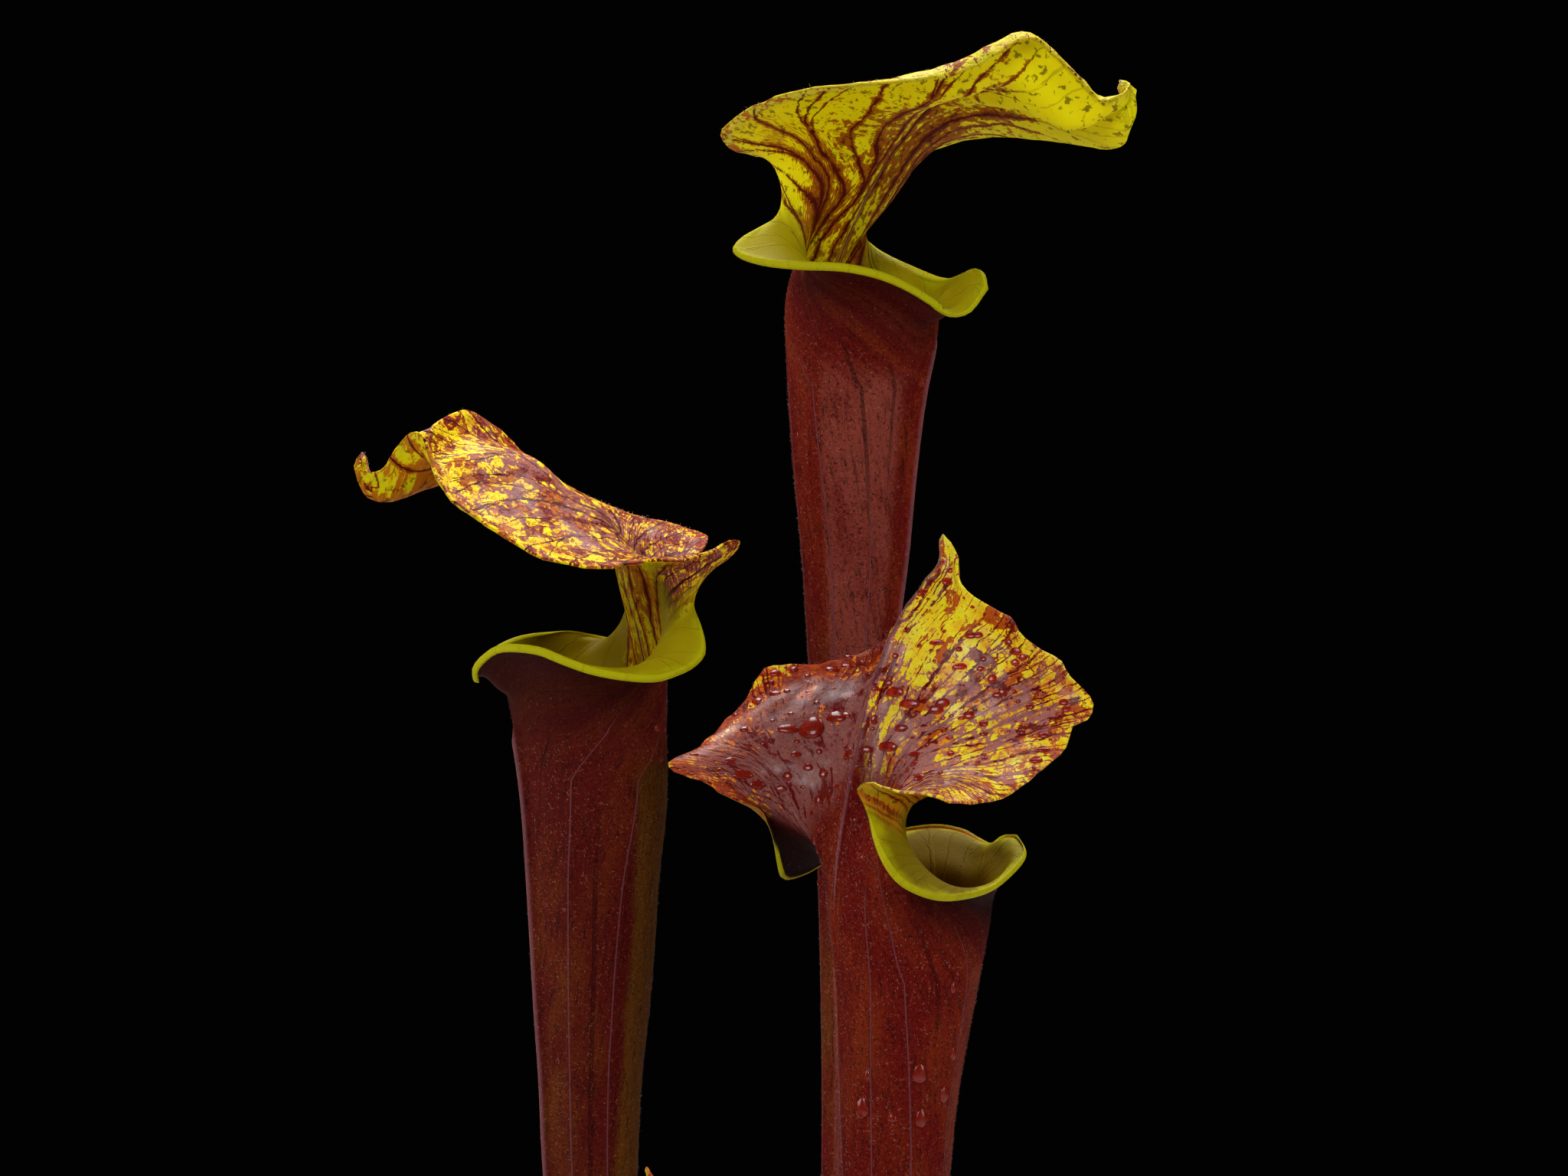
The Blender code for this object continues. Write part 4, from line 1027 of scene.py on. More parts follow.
def make_vein_group():
    tree, b, (across, climb, gap, width, fork, stride) = new_group(
        "forking_veins", ("Across", "Climb", "Gap", "Width", "Fork", "Stride"), ("Vein", "Halo"))
    vein, halo = 0.0, 0.0
    for level, share in enumerate(VEIN_WIDTHS):
        scaled = across * float(2 ** max(level - 1, 0))
        place = b.maths("FRACT", scaled)
        if level == 0:
            apart = b.maths("MINIMUM", place, 1.0 - place)
        else:
            cell = b.maths("FLOOR", scaled)
            chance = b.out("TexWhiteNoise", "Value", {"W": cell}, noise_dimensions="1D")
            start = stride * (chance - 0.5) + (stride * (level - 1.0) + fork)
            reach = b.fade(climb, start, start + stride) * 0.5
            aim = b.between(b.maths("PINGPONG", cell, 1.0), reach, 1.0 - reach)
            # Before its fork a vein is put far away, so that it doesn't show
            apart = (b.maths("LESS_THAN", climb, start) * 9.0 + abs(place - aim)) / float(2 ** (level - 1))
        distance, wide = apart * gap, width * share
        vein = b.most(b.fade(distance, wide, wide * 0.45), vein)
        halo = b.most(b.fade(distance, wide * 4.5, 0.0), halo)
    return close_group(tree, b, Vein=vein, Halo=halo)


VEINS = make_vein_group()
print("vein group has", len(VEINS.nodes), "nodes")

# %% [markdown]
# ## The net between the veins
#
# Between the veins runs a fine net, and the skin bulges a little in each of its meshes. Voronoi cells have
# just this look. The same group colours the meshes of the lids and gives them their low relief.

# %% The net as a node group
def make_net_group():
    tree, b, (place, mesh, line, wander) = new_group(
        "leaf_net", ("Place", "Mesh", "Line", "Wander"), ("Line", "Dome", "Chance"))
    shift = b.out("TexNoise", "Color", {"Vector": place, "Scale": 0.55, "Detail": 2.0})
    centred = b.vector("SUBTRACT", shift, (0.5, 0.5, 0.5))
    drift = b.out("VectorMath", 0, {0: centred, "Scale": wander}, operation="SCALE")
    cells = {"Vector": b.vector("ADD", place, drift), "Scale": 1.0 / mesh}
    edge = b.out("TexVoronoi", "Distance", cells, feature="DISTANCE_TO_EDGE")
    chance = b.out("SeparateColor", 0, {"Color": b.out("TexVoronoi", "Color", cells, feature="F1")})
    shown = b.fade(edge * mesh, line, line * 0.4)
    return close_group(tree, b, Line=shown, Dome=b.fade(edge, 0.0, 0.45), Chance=chance)


NET = make_net_group()
print("groups:", [g.name for g in bpy.data.node_groups])

# %% [markdown]
# ## The skin of a pitcher
#
# The outer face of the tube is deep maroon, and olive where less sun reached it. On the lid's upper side the
# red breaks up into patches and veins over bright yellow. The inner face is yellow-green at the lip, and
# brown and orange under the lid, where dark veins run up from the throat.
#
# Each leaf has its own values, because a leaf's colour depends on its age and on how much sun it had. All of
# them use the same groups. Sizes in the material are in millimetres on the leaf.

# %% The colours of the skin
PAINTS = dict(
    tube_red=paint(102, 10, 5), tube_dark=paint(36, 2, 2), shade=paint(24, 2, 1), tube_glow=paint(122, 34, 8),
    tube_pink=paint(146, 58, 40), tube_bloom_and_sheen=paint(138, 62, 50), tube_olive=paint(88, 56, 6),
    curl=paint(176, 98, 74), nerve=paint(122, 64, 72), keel=paint(146, 92, 104),
    lip=paint(180, 176, 8), mouth=paint(166, 150, 8), throat=paint(112, 70, 6),
    lid_yellow=paint(252, 222, 10), lid_lemon=paint(214, 212, 60), lid_orange=paint(228, 110, 16),
    maroon=paint(112, 16, 10), mauve=paint(162, 104, 104), mark=paint(108, 6, 4), grain=paint(62, 18, 18),
    under_yellow=paint(214, 202, 6), under_orange=paint(180, 104, 4), under_brown=paint(112, 46, 4),
    vein=paint(84, 10, 5), crease_highlight=paint(196, 160, 96), hem=paint(176, 58, 14))
print(len(PAINTS), "colours of the skin")


# %% Thin lines along the leaf
def thin_line(b, at, line, width):
    """A line that runs through places given as (climb, u), as a mask of the asked width in millimetres."""
    guide = b.add("FloatCurve", {"Value": at.climb * 0.5})
    points = guide.mapping.curves[0].points
    climbs, places = smooth_path(line)
    while len(points) < len(climbs):
        points.new(0.5, 0.5)
    for point, climb, u in zip(points, climbs, places):
        point.location = (climb / 2, (u + 1) / 2)
    guide.mapping.update()
    place = Wire(b, guide.outputs[0]) * 2.0 - 1.0
    low, top = climbs[0], climbs[-1]
    mask = b.fade(abs(at.u - place) * at.span, width, width * 0.35) * b.fade(at.climb, top, top - 0.12)
    return mask if low < 0.05 else mask * b.fade(at.climb, low, low + 0.1)


def all_lines(b, at, lines, width):
    mask = 0.0
    for line in lines:
        mask = b.most(mask, thin_line(b, at, line, width))
    return mask * at.outside


# %% Under the lid, inside the column, and round the mouth
def inner_face(b, look, at):
    climb, spot, colours, plain_from = at.climb, at.spot, look["paints"], look["veins_to"]
    fleck = b.noise(at.place, 0.6, 5.0, 0.66, stretch=(1.0, 0.6, 1.0))
    broken = b.noise(spot, 0.3, 2.0)
    tail = b.fade(climb, 1.7, 1.85) * b.fade(at.u_size, 0.2, 0.1)
    # Painted shade: the orange flush is made stronger in the column under the lid and away from the rim, on
    # top of the leaf's own flush
    flush = (b.noise(spot, 0.07) * 1.1 + (look["flush"] - 0.75)
             + b.fade(climb, 1.85, 1.3) * look["flush_and_shade_column"] + b.fade(climb, 1.5, 1.28) * -0.22
             + at.veins["Halo"] * look["halo"] + b.fade(at.to_rim, 4.0, 30.0) * 0.3
             + (fleck - 0.5) * 1.9 - tail * look["tail"])
    colour = b.blend(b.fade(flush, 0.38, 0.56), colours["under_yellow"], colours["under_orange"])
    colour = b.blend(b.fade(flush, 0.68, 1.0), colour, colours["under_brown"])
    dashes = at.net["Line"] * b.fade(b.noise(spot, 0.42, 2.0), 0.57, 0.63)
    colour = b.blend(dashes * 0.7, colour, colours["vein"])
    # The margin of the lid is pale and beaded
    margin = b.between(b.fade(at.u, -0.2, -0.08), look["pale"], look["pale"] * 0.3)
    pale = b.fade(at.to_rim, 3.6, 2.6) * at.in_lid * margin
    colour = b.blend(pale, colour, colours["lid_lemon"])
    veinlets = at.net["Line"] * b.fade(broken, 0.45, 0.5) * pale
    colour = b.blend(veinlets * 0.9, colour, colours["hem"])
    # The mouth is plain green, and the tube below it is brown or green, deeper on the way down
    beside = b.fade((fleck - 0.5) * 0.12 + at.u_size, plain_from - 0.04, plain_from + 0.06)
    mouth = b.most(beside, b.fade(climb, 1.34, 1.08)) * b.fade(climb, 1.95, 1.8)
    mouth = b.most(mouth, b.fade(at.u_size, 0.56, 0.62))
    deeper = b.noise(spot, 0.09) * 14.0 + at.to_rim
    brown = b.most(b.fade(climb, look["brown_up"], 1.1) * look["brown"],
                   b.fade(deeper, 14.0, 24.0) * look["hollow"])
    green = b.blend(b.fade(deeper, 7.0, 12.0), colours["lip"], colours["mouth"])
    colour = b.blend(mouth, colour, b.blend(brown, green, colours["throat"]))
    seam = b.fade(at.to_rim, 0.3, 0.9) * b.fade(at.to_rim, 2.6, 1.6) * b.fade(at.u, 0.45, 0.55)
    colour = b.blend(seam * b.fade(fleck, 0.3, 0.45) * look["seam"], colour, colours["hem"])
    reach = b.most(b.fade(at.u_size, plain_from + 0.1, plain_from) * b.fade(climb, 1.0, 1.15),
                   b.fade(climb, 1.3, 1.1) * look["brown"])
    line = at.veins["Vein"] * reach * b.most(b.fade(broken, 0.34, 0.46), b.fade(climb, 1.9, 1.6))
    colour = b.blend(line * (0.92 - tail * (look["tail"] * 0.8)), colour, colours["vein"])
    # A painted highlight runs up either side of the crease of the column, where its raised edges catch the
    # light
    crease_highlight = b.fade(abs(at.aside - 0.8), 0.45, 0.1) * b.fade(climb, 1.05, 1.2) * b.fade(climb, 1.85, 1.6)
    return b.blend(crease_highlight * 0.55, colour, colours["crease_highlight"])


# %% The tube from outside
def tube_face(b, look, at):
    climb, colours = at.climb, look["paints"]
    wide = b.noise(at.place, 0.07, stretch=(1.0, 0.4, 1.0))
    fine = b.noise(at.place, 0.8, 4.0, 0.68, stretch=(1.0, 0.14, 1.0))
    grain = b.noise(at.spot, 1.1, 5.0, 0.78)
    centre, spread, amount = look["olive"]
    stripe = b.fade(abs(at.u - centre), spread, spread * 0.6) * b.fade(climb, 1.15, 0.92)
    olive = b.fade(stripe * amount + b.fade(climb, 1.05, 0.5) * 0.35 + wide * 1.1 - 0.55, 0.1, 0.8)
    tube = b.blend(b.fade(wide, 0.4, 0.68), colours["tube_red"], colours["tube_glow"])
    tube = b.blend(olive * 0.85, tube, colours["tube_olive"])
    # A pale bloom lies between two of the nerves, and it is also painted rim light along that side of the tube
    centre, spread, amount = look["bloom_and_sheen"]
    zone = b.fade(abs(at.u - centre), spread, spread * 0.7) * b.fade(climb, 1.22, 1.0)
    tube = b.blend(zone * b.fade(grain * 0.5 + wide, 0.45, 0.85) * amount, tube, colours["tube_bloom_and_sheen"])
    tube = b.blend(b.fade(fine, 0.5, 0.7) * 0.7, tube, colours["tube_dark"])
    tube = b.blend(b.fade(grain, 0.52, 0.66) * look["pink"], tube, colours["tube_pink"])
    tube = b.blend(b.fade(grain, 0.48, 0.36) * 0.8, tube, colours["tube_dark"])
    # Short hairs lie on the skin as small pale curls, which are the level lines of a noise, broken up
    level = b.noise(at.place, 0.62, 2.0, 0.5, stretch=(0.6, 1.0, 1.0))
    curl = b.fade(abs(level - 0.5), 0.022, 0.004) * b.fade(b.noise(at.spot, 0.7, 2.0), 0.56, 0.64)
    tube = b.blend(curl * look["curls"], tube, colours["curl"])
    # Painted shade darkens the outer face under the lip towards near black
    painted_shade_below_lip = b.fade(climb, 1.05, 1.6) * b.fade(at.u_size, 0.45, 0.62)
    return b.blend(painted_shade_below_lip * look["shade"], tube, colours["shade"])


# %% The lid's upper side
def lid_top(b, look, at):
    """Yellow patches drawn out along the veins, over a red ground with pale bloom and painted sheen, dark
    marks and grain.
    """
    spot, streak, net, colours = at.spot, at.streaks["Vein"], at.net, look["paints"]
    side = b.fade(at.u, -0.02, 0.02)

    def by_side(title):
        """A value given for the left and the right side of the lid."""
        left, right = look[title]
        return left if left == right else b.between(side, right, left)

    warmth = by_side("warmth")
    grain = b.noise(spot, 1.2, 4.0, 0.75)
    # How much of the lid is yellow here
    crest = b.fade(at.aside, 15.0, 4.0)
    share = (b.between(b.fade(at.to_rim, look["reach"], 0.0), by_side("bare"), by_side("yellow"))
             + crest * by_side("crest") - b.fade(at.u_size, 0.33, 0.42) * look["ear"]
             + b.fade(at.climb, 1.72, 1.95) * crest * look["tip"])
    drawn = (1.0 / look["patch"], look["drawn"] / look["patch"], 1.0)
    above = (b.noise(at.place, 1.0, 5.0, 0.65, 0.3, stretch=drawn) * 0.8 + net["Chance"] * 0.16 + share * 0.36
             - 0.66 + (grain - 0.5) * 0.3 - streak * (0.16 * look["streaks"]) - net["Line"] * look["net"])
    dots = b.fade(b.noise(spot, 0.75, 2.0, 0.5), 0.63, 0.67)
    warm = b.fade(b.noise(spot, 0.2), 0.4, 0.66) * warmth * b.between(crest, 1.0, 0.35)
    gold = b.blend(warm, colours["lid_yellow"], colours["lid_orange"])
    gold = b.blend(b.fade(b.noise(spot, 0.13), 0.5, 0.7) * look["lemon"], gold, colours["lid_lemon"])
    # The red ground: a pale bloom over maroon, thin towards the margin. The pale bloom is also painted sheen
    # of the lamps on the wet lid
    bloom_and_sheen = (b.noise(spot, 0.14, 5.0, 0.68) + b.fade(at.to_rim, 3.0, 28.0) * 0.2
             + b.fade(at.u_size, 0.14, 0.36) * look["bloom_and_sheen_low"])
    red = b.blend(b.fade(bloom_and_sheen, 0.52, 0.68) * by_side("mauve"), colours["maroon"], colours["mauve"])
    embers = b.fade(b.noise(at.place, 0.5, 5.0, 0.72, stretch=(1.0, 0.4, 1.0)), 0.5, 0.6)
    embers = embers * b.between(b.fade(at.to_rim, 4.0, 16.0), 1.0, look["embers_bare"])
    red = b.blend(embers * by_side("embers"), red, colours["lid_orange"])
    hem = b.fade(at.to_rim, look["hem"], 0.5) * b.fade(at.u_size, 0.08, 0.25)
    red = b.blend(hem * warmth * 0.6, red, colours["hem"])
    red = b.blend(b.fade(grain, 0.55, 0.64) * 0.55, red, colours["grain"])
    # Wet hollows and veins, where the deep red shows without its bloom
    hollows = b.noise(at.place, 0.3, 4.0, 0.6, 0.4, stretch=(1.0, 0.34, 1.0)) + streak * 0.07
    marks = b.fade(hollows, look["mark_from"], look["mark_from"] + 0.015) * look["marks"]
    red = b.blend(marks, red, colours["mark"])
    red = b.blend(streak * by_side("lines"), red, colours["grain"])
    red = b.blend(b.fade(above, -0.07, 0.0) * warmth * 0.8, red, colours["lid_orange"])
    # Furrows run beside the keel, painted darker as shade in their creases, and some leaves have a dark band
    # there
    wave = abs(b.maths("MODULO", b.noise(spot, 0.1) * 7.0 + at.aside, 3.2) - 1.6)
    furrow_shade = b.fade(wave, 0.6, 0.2) * b.fade(at.aside, 9.0, 4.0) * b.fade(b.noise(spot, 0.2, 2.0), 0.38, 0.46)
    furrow_shade = furrow_shade * look["furrows"]
    red = b.blend(furrow_shade, red, colours["grain"])
    band = b.fade(at.aside, 0.4, 1.2) * b.fade(at.aside, 5.5, 3.5) * side * look["band"]
    red = b.blend(band, red, b.blend(grain, colours["mark"], colours["hem"]))
    yellow = b.fade(above, -0.005, 0.03) * (1.0 - dots * 0.75) * (1.0 - marks) * (1.0 - furrow_shade)
    return b.blend(yellow, red, gold)


# %% The skin as a material
def leaf_material(name, look):
    material, b, shader, place = new_material(
        name + "_skin", Coat_Roughness=0.32, Specular_IOR_Level=0.055, Subsurface_Weight=0.35,
        Subsurface_Radius=(1.0, 0.6, 0.1), Subsurface_Scale=0.0015)
    colours, count = look["paints"], look["veins"]
    stored = ("outside", "ridge", "to_rim", "span", "in_lid", "fan_gap")
    at = SimpleNamespace(**{title: b.read(title) for title in stored})
    leaf_map = b.map("leaf")
    at.u, at.climb, at.place = b.part(leaf_map, "X"), b.part(leaf_map, "Y"), b.map("skin")
    at.u_size, at.aside = abs(at.u), abs(b.part(at.place, "X"))
    at.spot = b.vector("MULTIPLY", place, [1 / MM] * 3)
    # Most of the rim's bead has the outer face's colours
    at.outside = b.fade(at.outside, 0.12, 0.4)
    gap = at.fan_gap / count
    sway = (b.noise(at.spot, 0.045, 1.0) - 0.5) * 6.0 + (b.noise(at.spot, 0.3, 3.0, 0.6) - 0.5) * 2.0
    across = b.part(b.map("fan"), "X") * count + sway / gap
    taper = (b.fade(at.climb, 1.3, 1.62) - b.fade(at.climb, 1.7, 2.0) * 0.4) * 0.45 + 0.55
    width = b.maths("MINIMUM", taper * look["vein_width"], gap * 0.17)
    at.veins = b.group(VEINS, Across=across, Climb=at.climb, Gap=gap, Width=width, Fork=1.48, Stride=0.3)
    at.streaks = b.group(VEINS, Across=across + 0.5, Climb=at.climb, Gap=gap, Width=look["streak_width"],
                         Fork=1.4, Stride=0.2)
    at.net = b.group(NET, Place=at.spot, Mesh=look["mesh"], Line=look["mesh"] * 0.2, Wander=look["mesh"])
    inner, top = inner_face(b, look, at), lid_top(b, look, at)
    outer = b.blend(at.in_lid, tube_face(b, look, at), top)
    if "corner" in look:
        # Where the lid folds over at the notch, its underside shows the colours of its upper side
        fold = b.fade(at.u, *look["corner"]) * b.fade(at.climb, 1.66, 1.84) * at.in_lid
        inner = b.blend(fold, inner, top)
    nerves = all_lines(b, at, NERVES[name], look["nerve_width"])
    furrows = all_lines(b, at, FURROWS[name], 0.7)
    colour = b.blend(at.outside, inner, outer)
    colour = b.blend(b.fade(at.ridge, 0.35, 0.9) * at.outside * 0.55, colour, colours["keel"])
    # The furrows are painted darker, as painted shade in their creases
    colour = b.blend(furrows * 0.5, colour, colours["tube_dark"])
    b.put(shader.inputs["Base Color"], b.blend(nerves * 0.7, colour, colours["nerve"]))
    # Low relief in millimetres
    on_lid = at.in_lid * at.outside
    wrinkles = b.noise(at.spot, 0.9, 4.0, 0.7) * b.between(at.outside, 0.12, 0.5)
    beads = b.noise(at.spot, 0.55, 2.0) * b.fade(at.to_rim, 5.0, 1.5) * at.in_lid * 0.9
    cords = at.veins["Vein"] * b.between(at.outside, 0.16, 0.0)
    height = at.net["Dome"] * on_lid * 0.4 + wrinkles + beads + cords + nerves * 0.3 - furrows * 0.4
    roughen(b, shader, height, 0.001)
    wet = b.fade(b.noise(at.place, 0.07), 0.35, 0.7) * on_lid
    b.put(shader.inputs["Roughness"], b.between(wet, 0.58, 0.4))
    b.put(shader.inputs["Coat Weight"], wet * look["wet"])
    return material


# %% Each pitcher's own values
# Pairs are for the left and the right side of the lid. Olive and the bloom with its painted rim light are
# centre, spread and amount
BASE_LOOK = dict(
    paints=PAINTS, veins=14.0, vein_width=0.62, veins_to=0.48, halo=0.5, streak_width=0.6, streaks=0.8,
    mesh=3.0, net=0.08, patch=3.6, drawn=0.42, reach=38.0, yellow=(0.8, 0.8), bare=(0.3, 0.3),
    crest=(0.0, 0.0), tip=0.0, ear=0.0, lemon=0.5, warmth=(0.5, 0.5), embers=(0.4, 0.4), embers_bare=1.0,
    mauve=(0.85, 0.85), bloom_and_sheen_low=0.04, marks=0.9, mark_from=0.6, lines=(0.5, 0.5), furrows=0.0,
    band=0.0, hem=7.0, wet=0.15, flush=0.35, flush_and_shade_column=0.2, tail=0.0, pale=0.2, brown=0.3,
    brown_up=1.35, hollow=0.0, seam=0.0, pink=0.22, curls=0.5, shade=0.6, nerve_width=0.34,
    olive=(0.0, 0.3, 0.4), bloom_and_sheen=(0.0, 0.1, 0.0))
LOOKS = {
    "tall_pitcher": dict(
        BASE_LOOK, yellow=(1.1, 1.1), bare=(0.6, 0.6), warmth=(0.15, 0.15), hem=0.6, flush=0.38,
        flush_and_shade_column=0.11, halo=0.42, veins=9.0, vein_width=0.6, veins_to=0.55, tail=0.9, pale=0.9, pink=0.3,
        bloom_and_sheen=(-0.79, 0.15, 0.9),
        paints=dict(PAINTS, lid_yellow=paint(198, 186, 26), under_yellow=paint(230, 222, 6),
                    under_orange=paint(166, 92, 4), under_brown=paint(104, 40, 4))),
    "left_pitcher": dict(
        BASE_LOOK, yellow=(0.68, 0.64), bare=(0.53, 0.53), crest=(-0.12, -0.12), tip=0.4, ear=0.1, patch=2.7,
        drawn=0.5, lemon=0.3, embers=(0.25, 0.25), lines=(0.85, 0.85), mark_from=0.545, furrows=0.9, wet=0.3,
        flush=0.3, flush_and_shade_column=0.25, vein_width=0.5, veins=7.0, veins_to=0.42, tail=-0.45, hollow=0.35,
        curls=0.4, olive=(0.42, 0.26, 1.1), corner=(0.4, 0.46),
        paints=dict(PAINTS, tube_red=paint(84, 12, 7), tube_glow=paint(98, 30, 6),
                    tube_pink=paint(118, 50, 34),
                    tube_olive=paint(104, 62, 8), mauve=paint(152, 92, 90))),
    "front_pitcher": dict(
        BASE_LOOK, yellow=(0.42, 0.72), bare=(-0.3, 0.46), crest=(0.0, 0.2), tip=0.4, reach=50.0, drawn=0.24,
        patch=4.6, warmth=(1.4, 0.75), embers=(1.0, 0.4), embers_bare=0.05, mauve=(0.5, 0.95), bloom_and_sheen_low=0.16,
        marks=1.0, mark_from=0.58, streaks=0.9, lines=(0.12, 0.22), band=0.85, hem=14.0, wet=0.7, flush=0.5,
        brown=1.0, brown_up=2.1, hollow=0.12, seam=0.9, shade=0.95, olive=(0.55, 0.3, 1.1),
        bloom_and_sheen=(-0.86, 0.07, 0.3),
        paints=dict(PAINTS, lip=paint(180, 174, 10), mauve=paint(176, 114, 108), maroon=paint(104, 10, 6),
                    throat=paint(128, 76, 2), mouth=paint(130, 112, 3), under_yellow=paint(150, 136, 4),
                    lid_yellow=paint(255, 232, 30))),
    "small_pitcher": dict(
        BASE_LOOK, veins=7.0, mesh=1.9, patch=3.2, vein_width=0.3, streak_width=0.5, reach=14.0,
        nerve_width=0.25, warmth=(0.8, 0.8),
        paints=dict(PAINTS, maroon=paint(186, 62, 40), mauve=paint(214, 120, 100),
                    lid_yellow=paint(236, 150, 74))),
}
for name, look in LOOKS.items():
    leaves[name].data.materials.append(leaf_material(name, look))
    print(name, "skin has", len(leaves[name].data.materials[0].node_tree.nodes), "nodes")

# %% [markdown]
# ## The clay pot
#
# A clay pot is thrown on a wheel, and a profile turned round its axis gives the same form. The turned skin
# gets the shallow rings that fingers leave, and sags a little out of round. The photograph ends above the
# pot, so it is a plain one, used for some years: clay with pale lime where water dried, and a darker band
# where it stays damp.

# %% Bodies made of rings
def ring_faces(rings, sides):
    """Faces round a stack of rings of points. Two points after the rings close its bottom and its top."""
    low, last = rings * sides, (rings - 1) * sides
    faces = []
    for i in range(sides):
        j = (i + 1) % sides
        faces += [(k + i, k + j, k + sides + j, k + sides + i) for k in range(0, last, sides)]
        faces += [(low, j, i), (low + 1, last + i, last + j)]
    return faces


def turned_piece(name, steps, sides, place):
    """A closed body whose first and last step are points, with a ring of points for each step between."""
    turns = [2 * math.pi * i / sides for i in range(sides)]
    points = [place(step, turn) for step in steps[1:-1] for turn in turns]
    points += [place(steps[0], 0.0), place(steps[-1], 0.0)]
    return new_piece(name, points, ring_faces(len(steps) - 2, sides))


# %% Throw the pot
POT_SIDES = 180
FINGER_RING = 7.0


def rounded(corners, steps=5):
    """Replaces each (radius, z, bend) corner by a small arc."""
    line = [corners[0][:2]]
    for before, here, after in zip(corners[:-2], corners[1:-1], corners[2:]):
        middle = np.array(here[:2])
        towards = [np.array(p[:2]) - middle for p in (before, after)]
        start, end = [middle + t / np.linalg.norm(t) * here[2] for t in towards]
        for t in np.arange(steps + 1) / steps:
            line.append(tuple((1 - t) ** 2 * start + 2 * t * (1 - t) * middle + t * t * end))
    return line + [corners[-1][:2]]


def densely(line, longest):
    """Adds points so that no step is longer than asked for."""
    out = [line[0]]
    for a, b in zip(line[:-1], line[1:]):
        count = max(1, math.ceil(math.dist(a, b) / longest))
        out += [tuple(np.array(a) + (np.array(b) - a) * (k + 1) / count) for k in range(count)]
    return out


def pot_wall(z):
    """The outer radius at a height, without the rim band."""
    return POT_FOOT_RADIUS + (POT_TOP_RADIUS - POT_FOOT_RADIUS) * z / POT_HEIGHT


def pot_place(step, angle):
    """A point of the profile turned round the axis, with finger rings, a slight oval and small dents."""
    radius, z = step
    around = np.array([math.cos(angle), math.sin(angle)])
    if radius > 0:
        radius += 0.12 * math.sin(2 * math.pi * z / FINGER_RING + 0.8 * math.sin(angle))
        radius += 0.35 * math.sin(2 * angle + 0.6) * z / POT_HEIGHT
        radius += 0.25 * noise.noise(Vector((*around * 2, z / 40)))
    return (*around * radius, z)


collar = POT_HEIGHT - POT_RIM_HEIGHT
pot_corners = [
    (0, 0, 0), (POT_FOOT_RADIUS, 0, 1.6), (pot_wall(collar - 3), collar - 3, 2.0),
    (pot_wall(collar) + POT_RIM_PROUD, collar, 1.2), (POT_TOP_RADIUS + POT_RIM_PROUD, POT_HEIGHT, 1.8),
    (POT_TOP_RADIUS - POT_WALL, POT_HEIGHT, 1.4), (pot_wall(POT_FLOOR) - POT_WALL, POT_FLOOR, 3.0),
    (0, POT_FLOOR, 0)]
clay_pot = turned_piece("clay_pot", densely(rounded(pot_corners), 2.0), POT_SIDES, pot_place)


# %% Clay with lime, damp and a little green
def clay_material():
    material, b, shader, place = new_material("clay")
    height = b.part(place, "Z")
    cloud = b.noise(place, 14.0, 5.0, 0.6)
    colour = b.blend(b.fade(cloud, 0.35, 0.65), paint(158, 84, 56), paint(188, 110, 76))
    colour = b.blend(b.fade(cloud * 0.05 - height, -0.02, 0.02) * 0.6, colour, paint(104, 58, 42))
    lime = b.fade(b.noise(place, 42.0, 6.0, 0.7, stretch=(1.0, 1.0, 0.35)), 0.5, 0.68)
    lime = lime * b.between(b.fade(height, 0.055, 0.112), 0.15, 0.75)
    colour = b.blend(lime, colour, paint(206, 190, 172))
    grit = b.out("TexVoronoi", "Distance", {"Vector": place, "Scale": 700.0})
    colour = b.blend(b.fade(grit, 0.2, 0.05) * 0.35, colour, paint(92, 50, 36))
    green = b.fade(b.noise(place, 26.0, 4.0, 0.6), 0.56, 0.7) * b.fade(height, 0.1, 0.124)
    b.put(shader.inputs["Base Color"], b.blend(green * 0.7, colour, paint(84, 96, 48)))
    b.put(shader.inputs["Roughness"], b.between(lime, 0.78, 0.92))
    roughen(b, shader, b.noise(place, 900.0) * 0.12 + b.noise(place, 160.0) * 0.3, 0.0008, strength=0.7)
    return material


clay_pot.data.materials.append(clay_material())
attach(clay_pot, "root")
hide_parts("pot")
print("clay pot:", len(clay_pot.data.polygons), "faces")

# %% [markdown]
# ## Peat, crumbs and moss
#
# Pitcher plants grow in wet peat. Its surface here is a fine disc pushed up and down by noise, with loose
# crumbs and a few pale grains of grit strewn on it. Cushions of bog moss grow along the edge and between the
# leaves. A moss plant is a small rosette of pointed leaves, so each cushion is a dome of such rosettes.

# %% The surface of the peat
SOIL_TURNS = 220
SOIL_RINGS = 70
SOIL_RADIUS = pot_wall(SOIL_TOP) - POT_WALL - 0.6
SOIL_BOTTOM = SOIL_TOP - 25


def soil_height(x, y):
    radius = math.hypot(x, y)
    crown = SOIL_CROWN * math.cos(min(radius / SOIL_RADIUS, 1) * math.pi / 2)
    lumps = 1.1 * noise.noise(Vector((x / 16, y / 16, 3.0))) + 0.55 * noise.noise(Vector((x / 5, y / 5, 9.0)))
    crumbs = 0.35 * noise.noise(Vector((x / 1.9, y / 1.9, 1.0))) + 0.2 * noise.noise(Vector((x, y, 5.0)))
    shrunk = -1.6 * max(0.0, radius / SOIL_RADIUS - 0.93) / 0.07
    return SOIL_TOP + crown + lumps + crumbs + shrunk


def peat_place(step, angle):
    radius, under = step
    x, y = radius * math.cos(angle), radius * math.sin(angle)
    return x, y, SOIL_BOTTOM if under else soil_height(x, y)


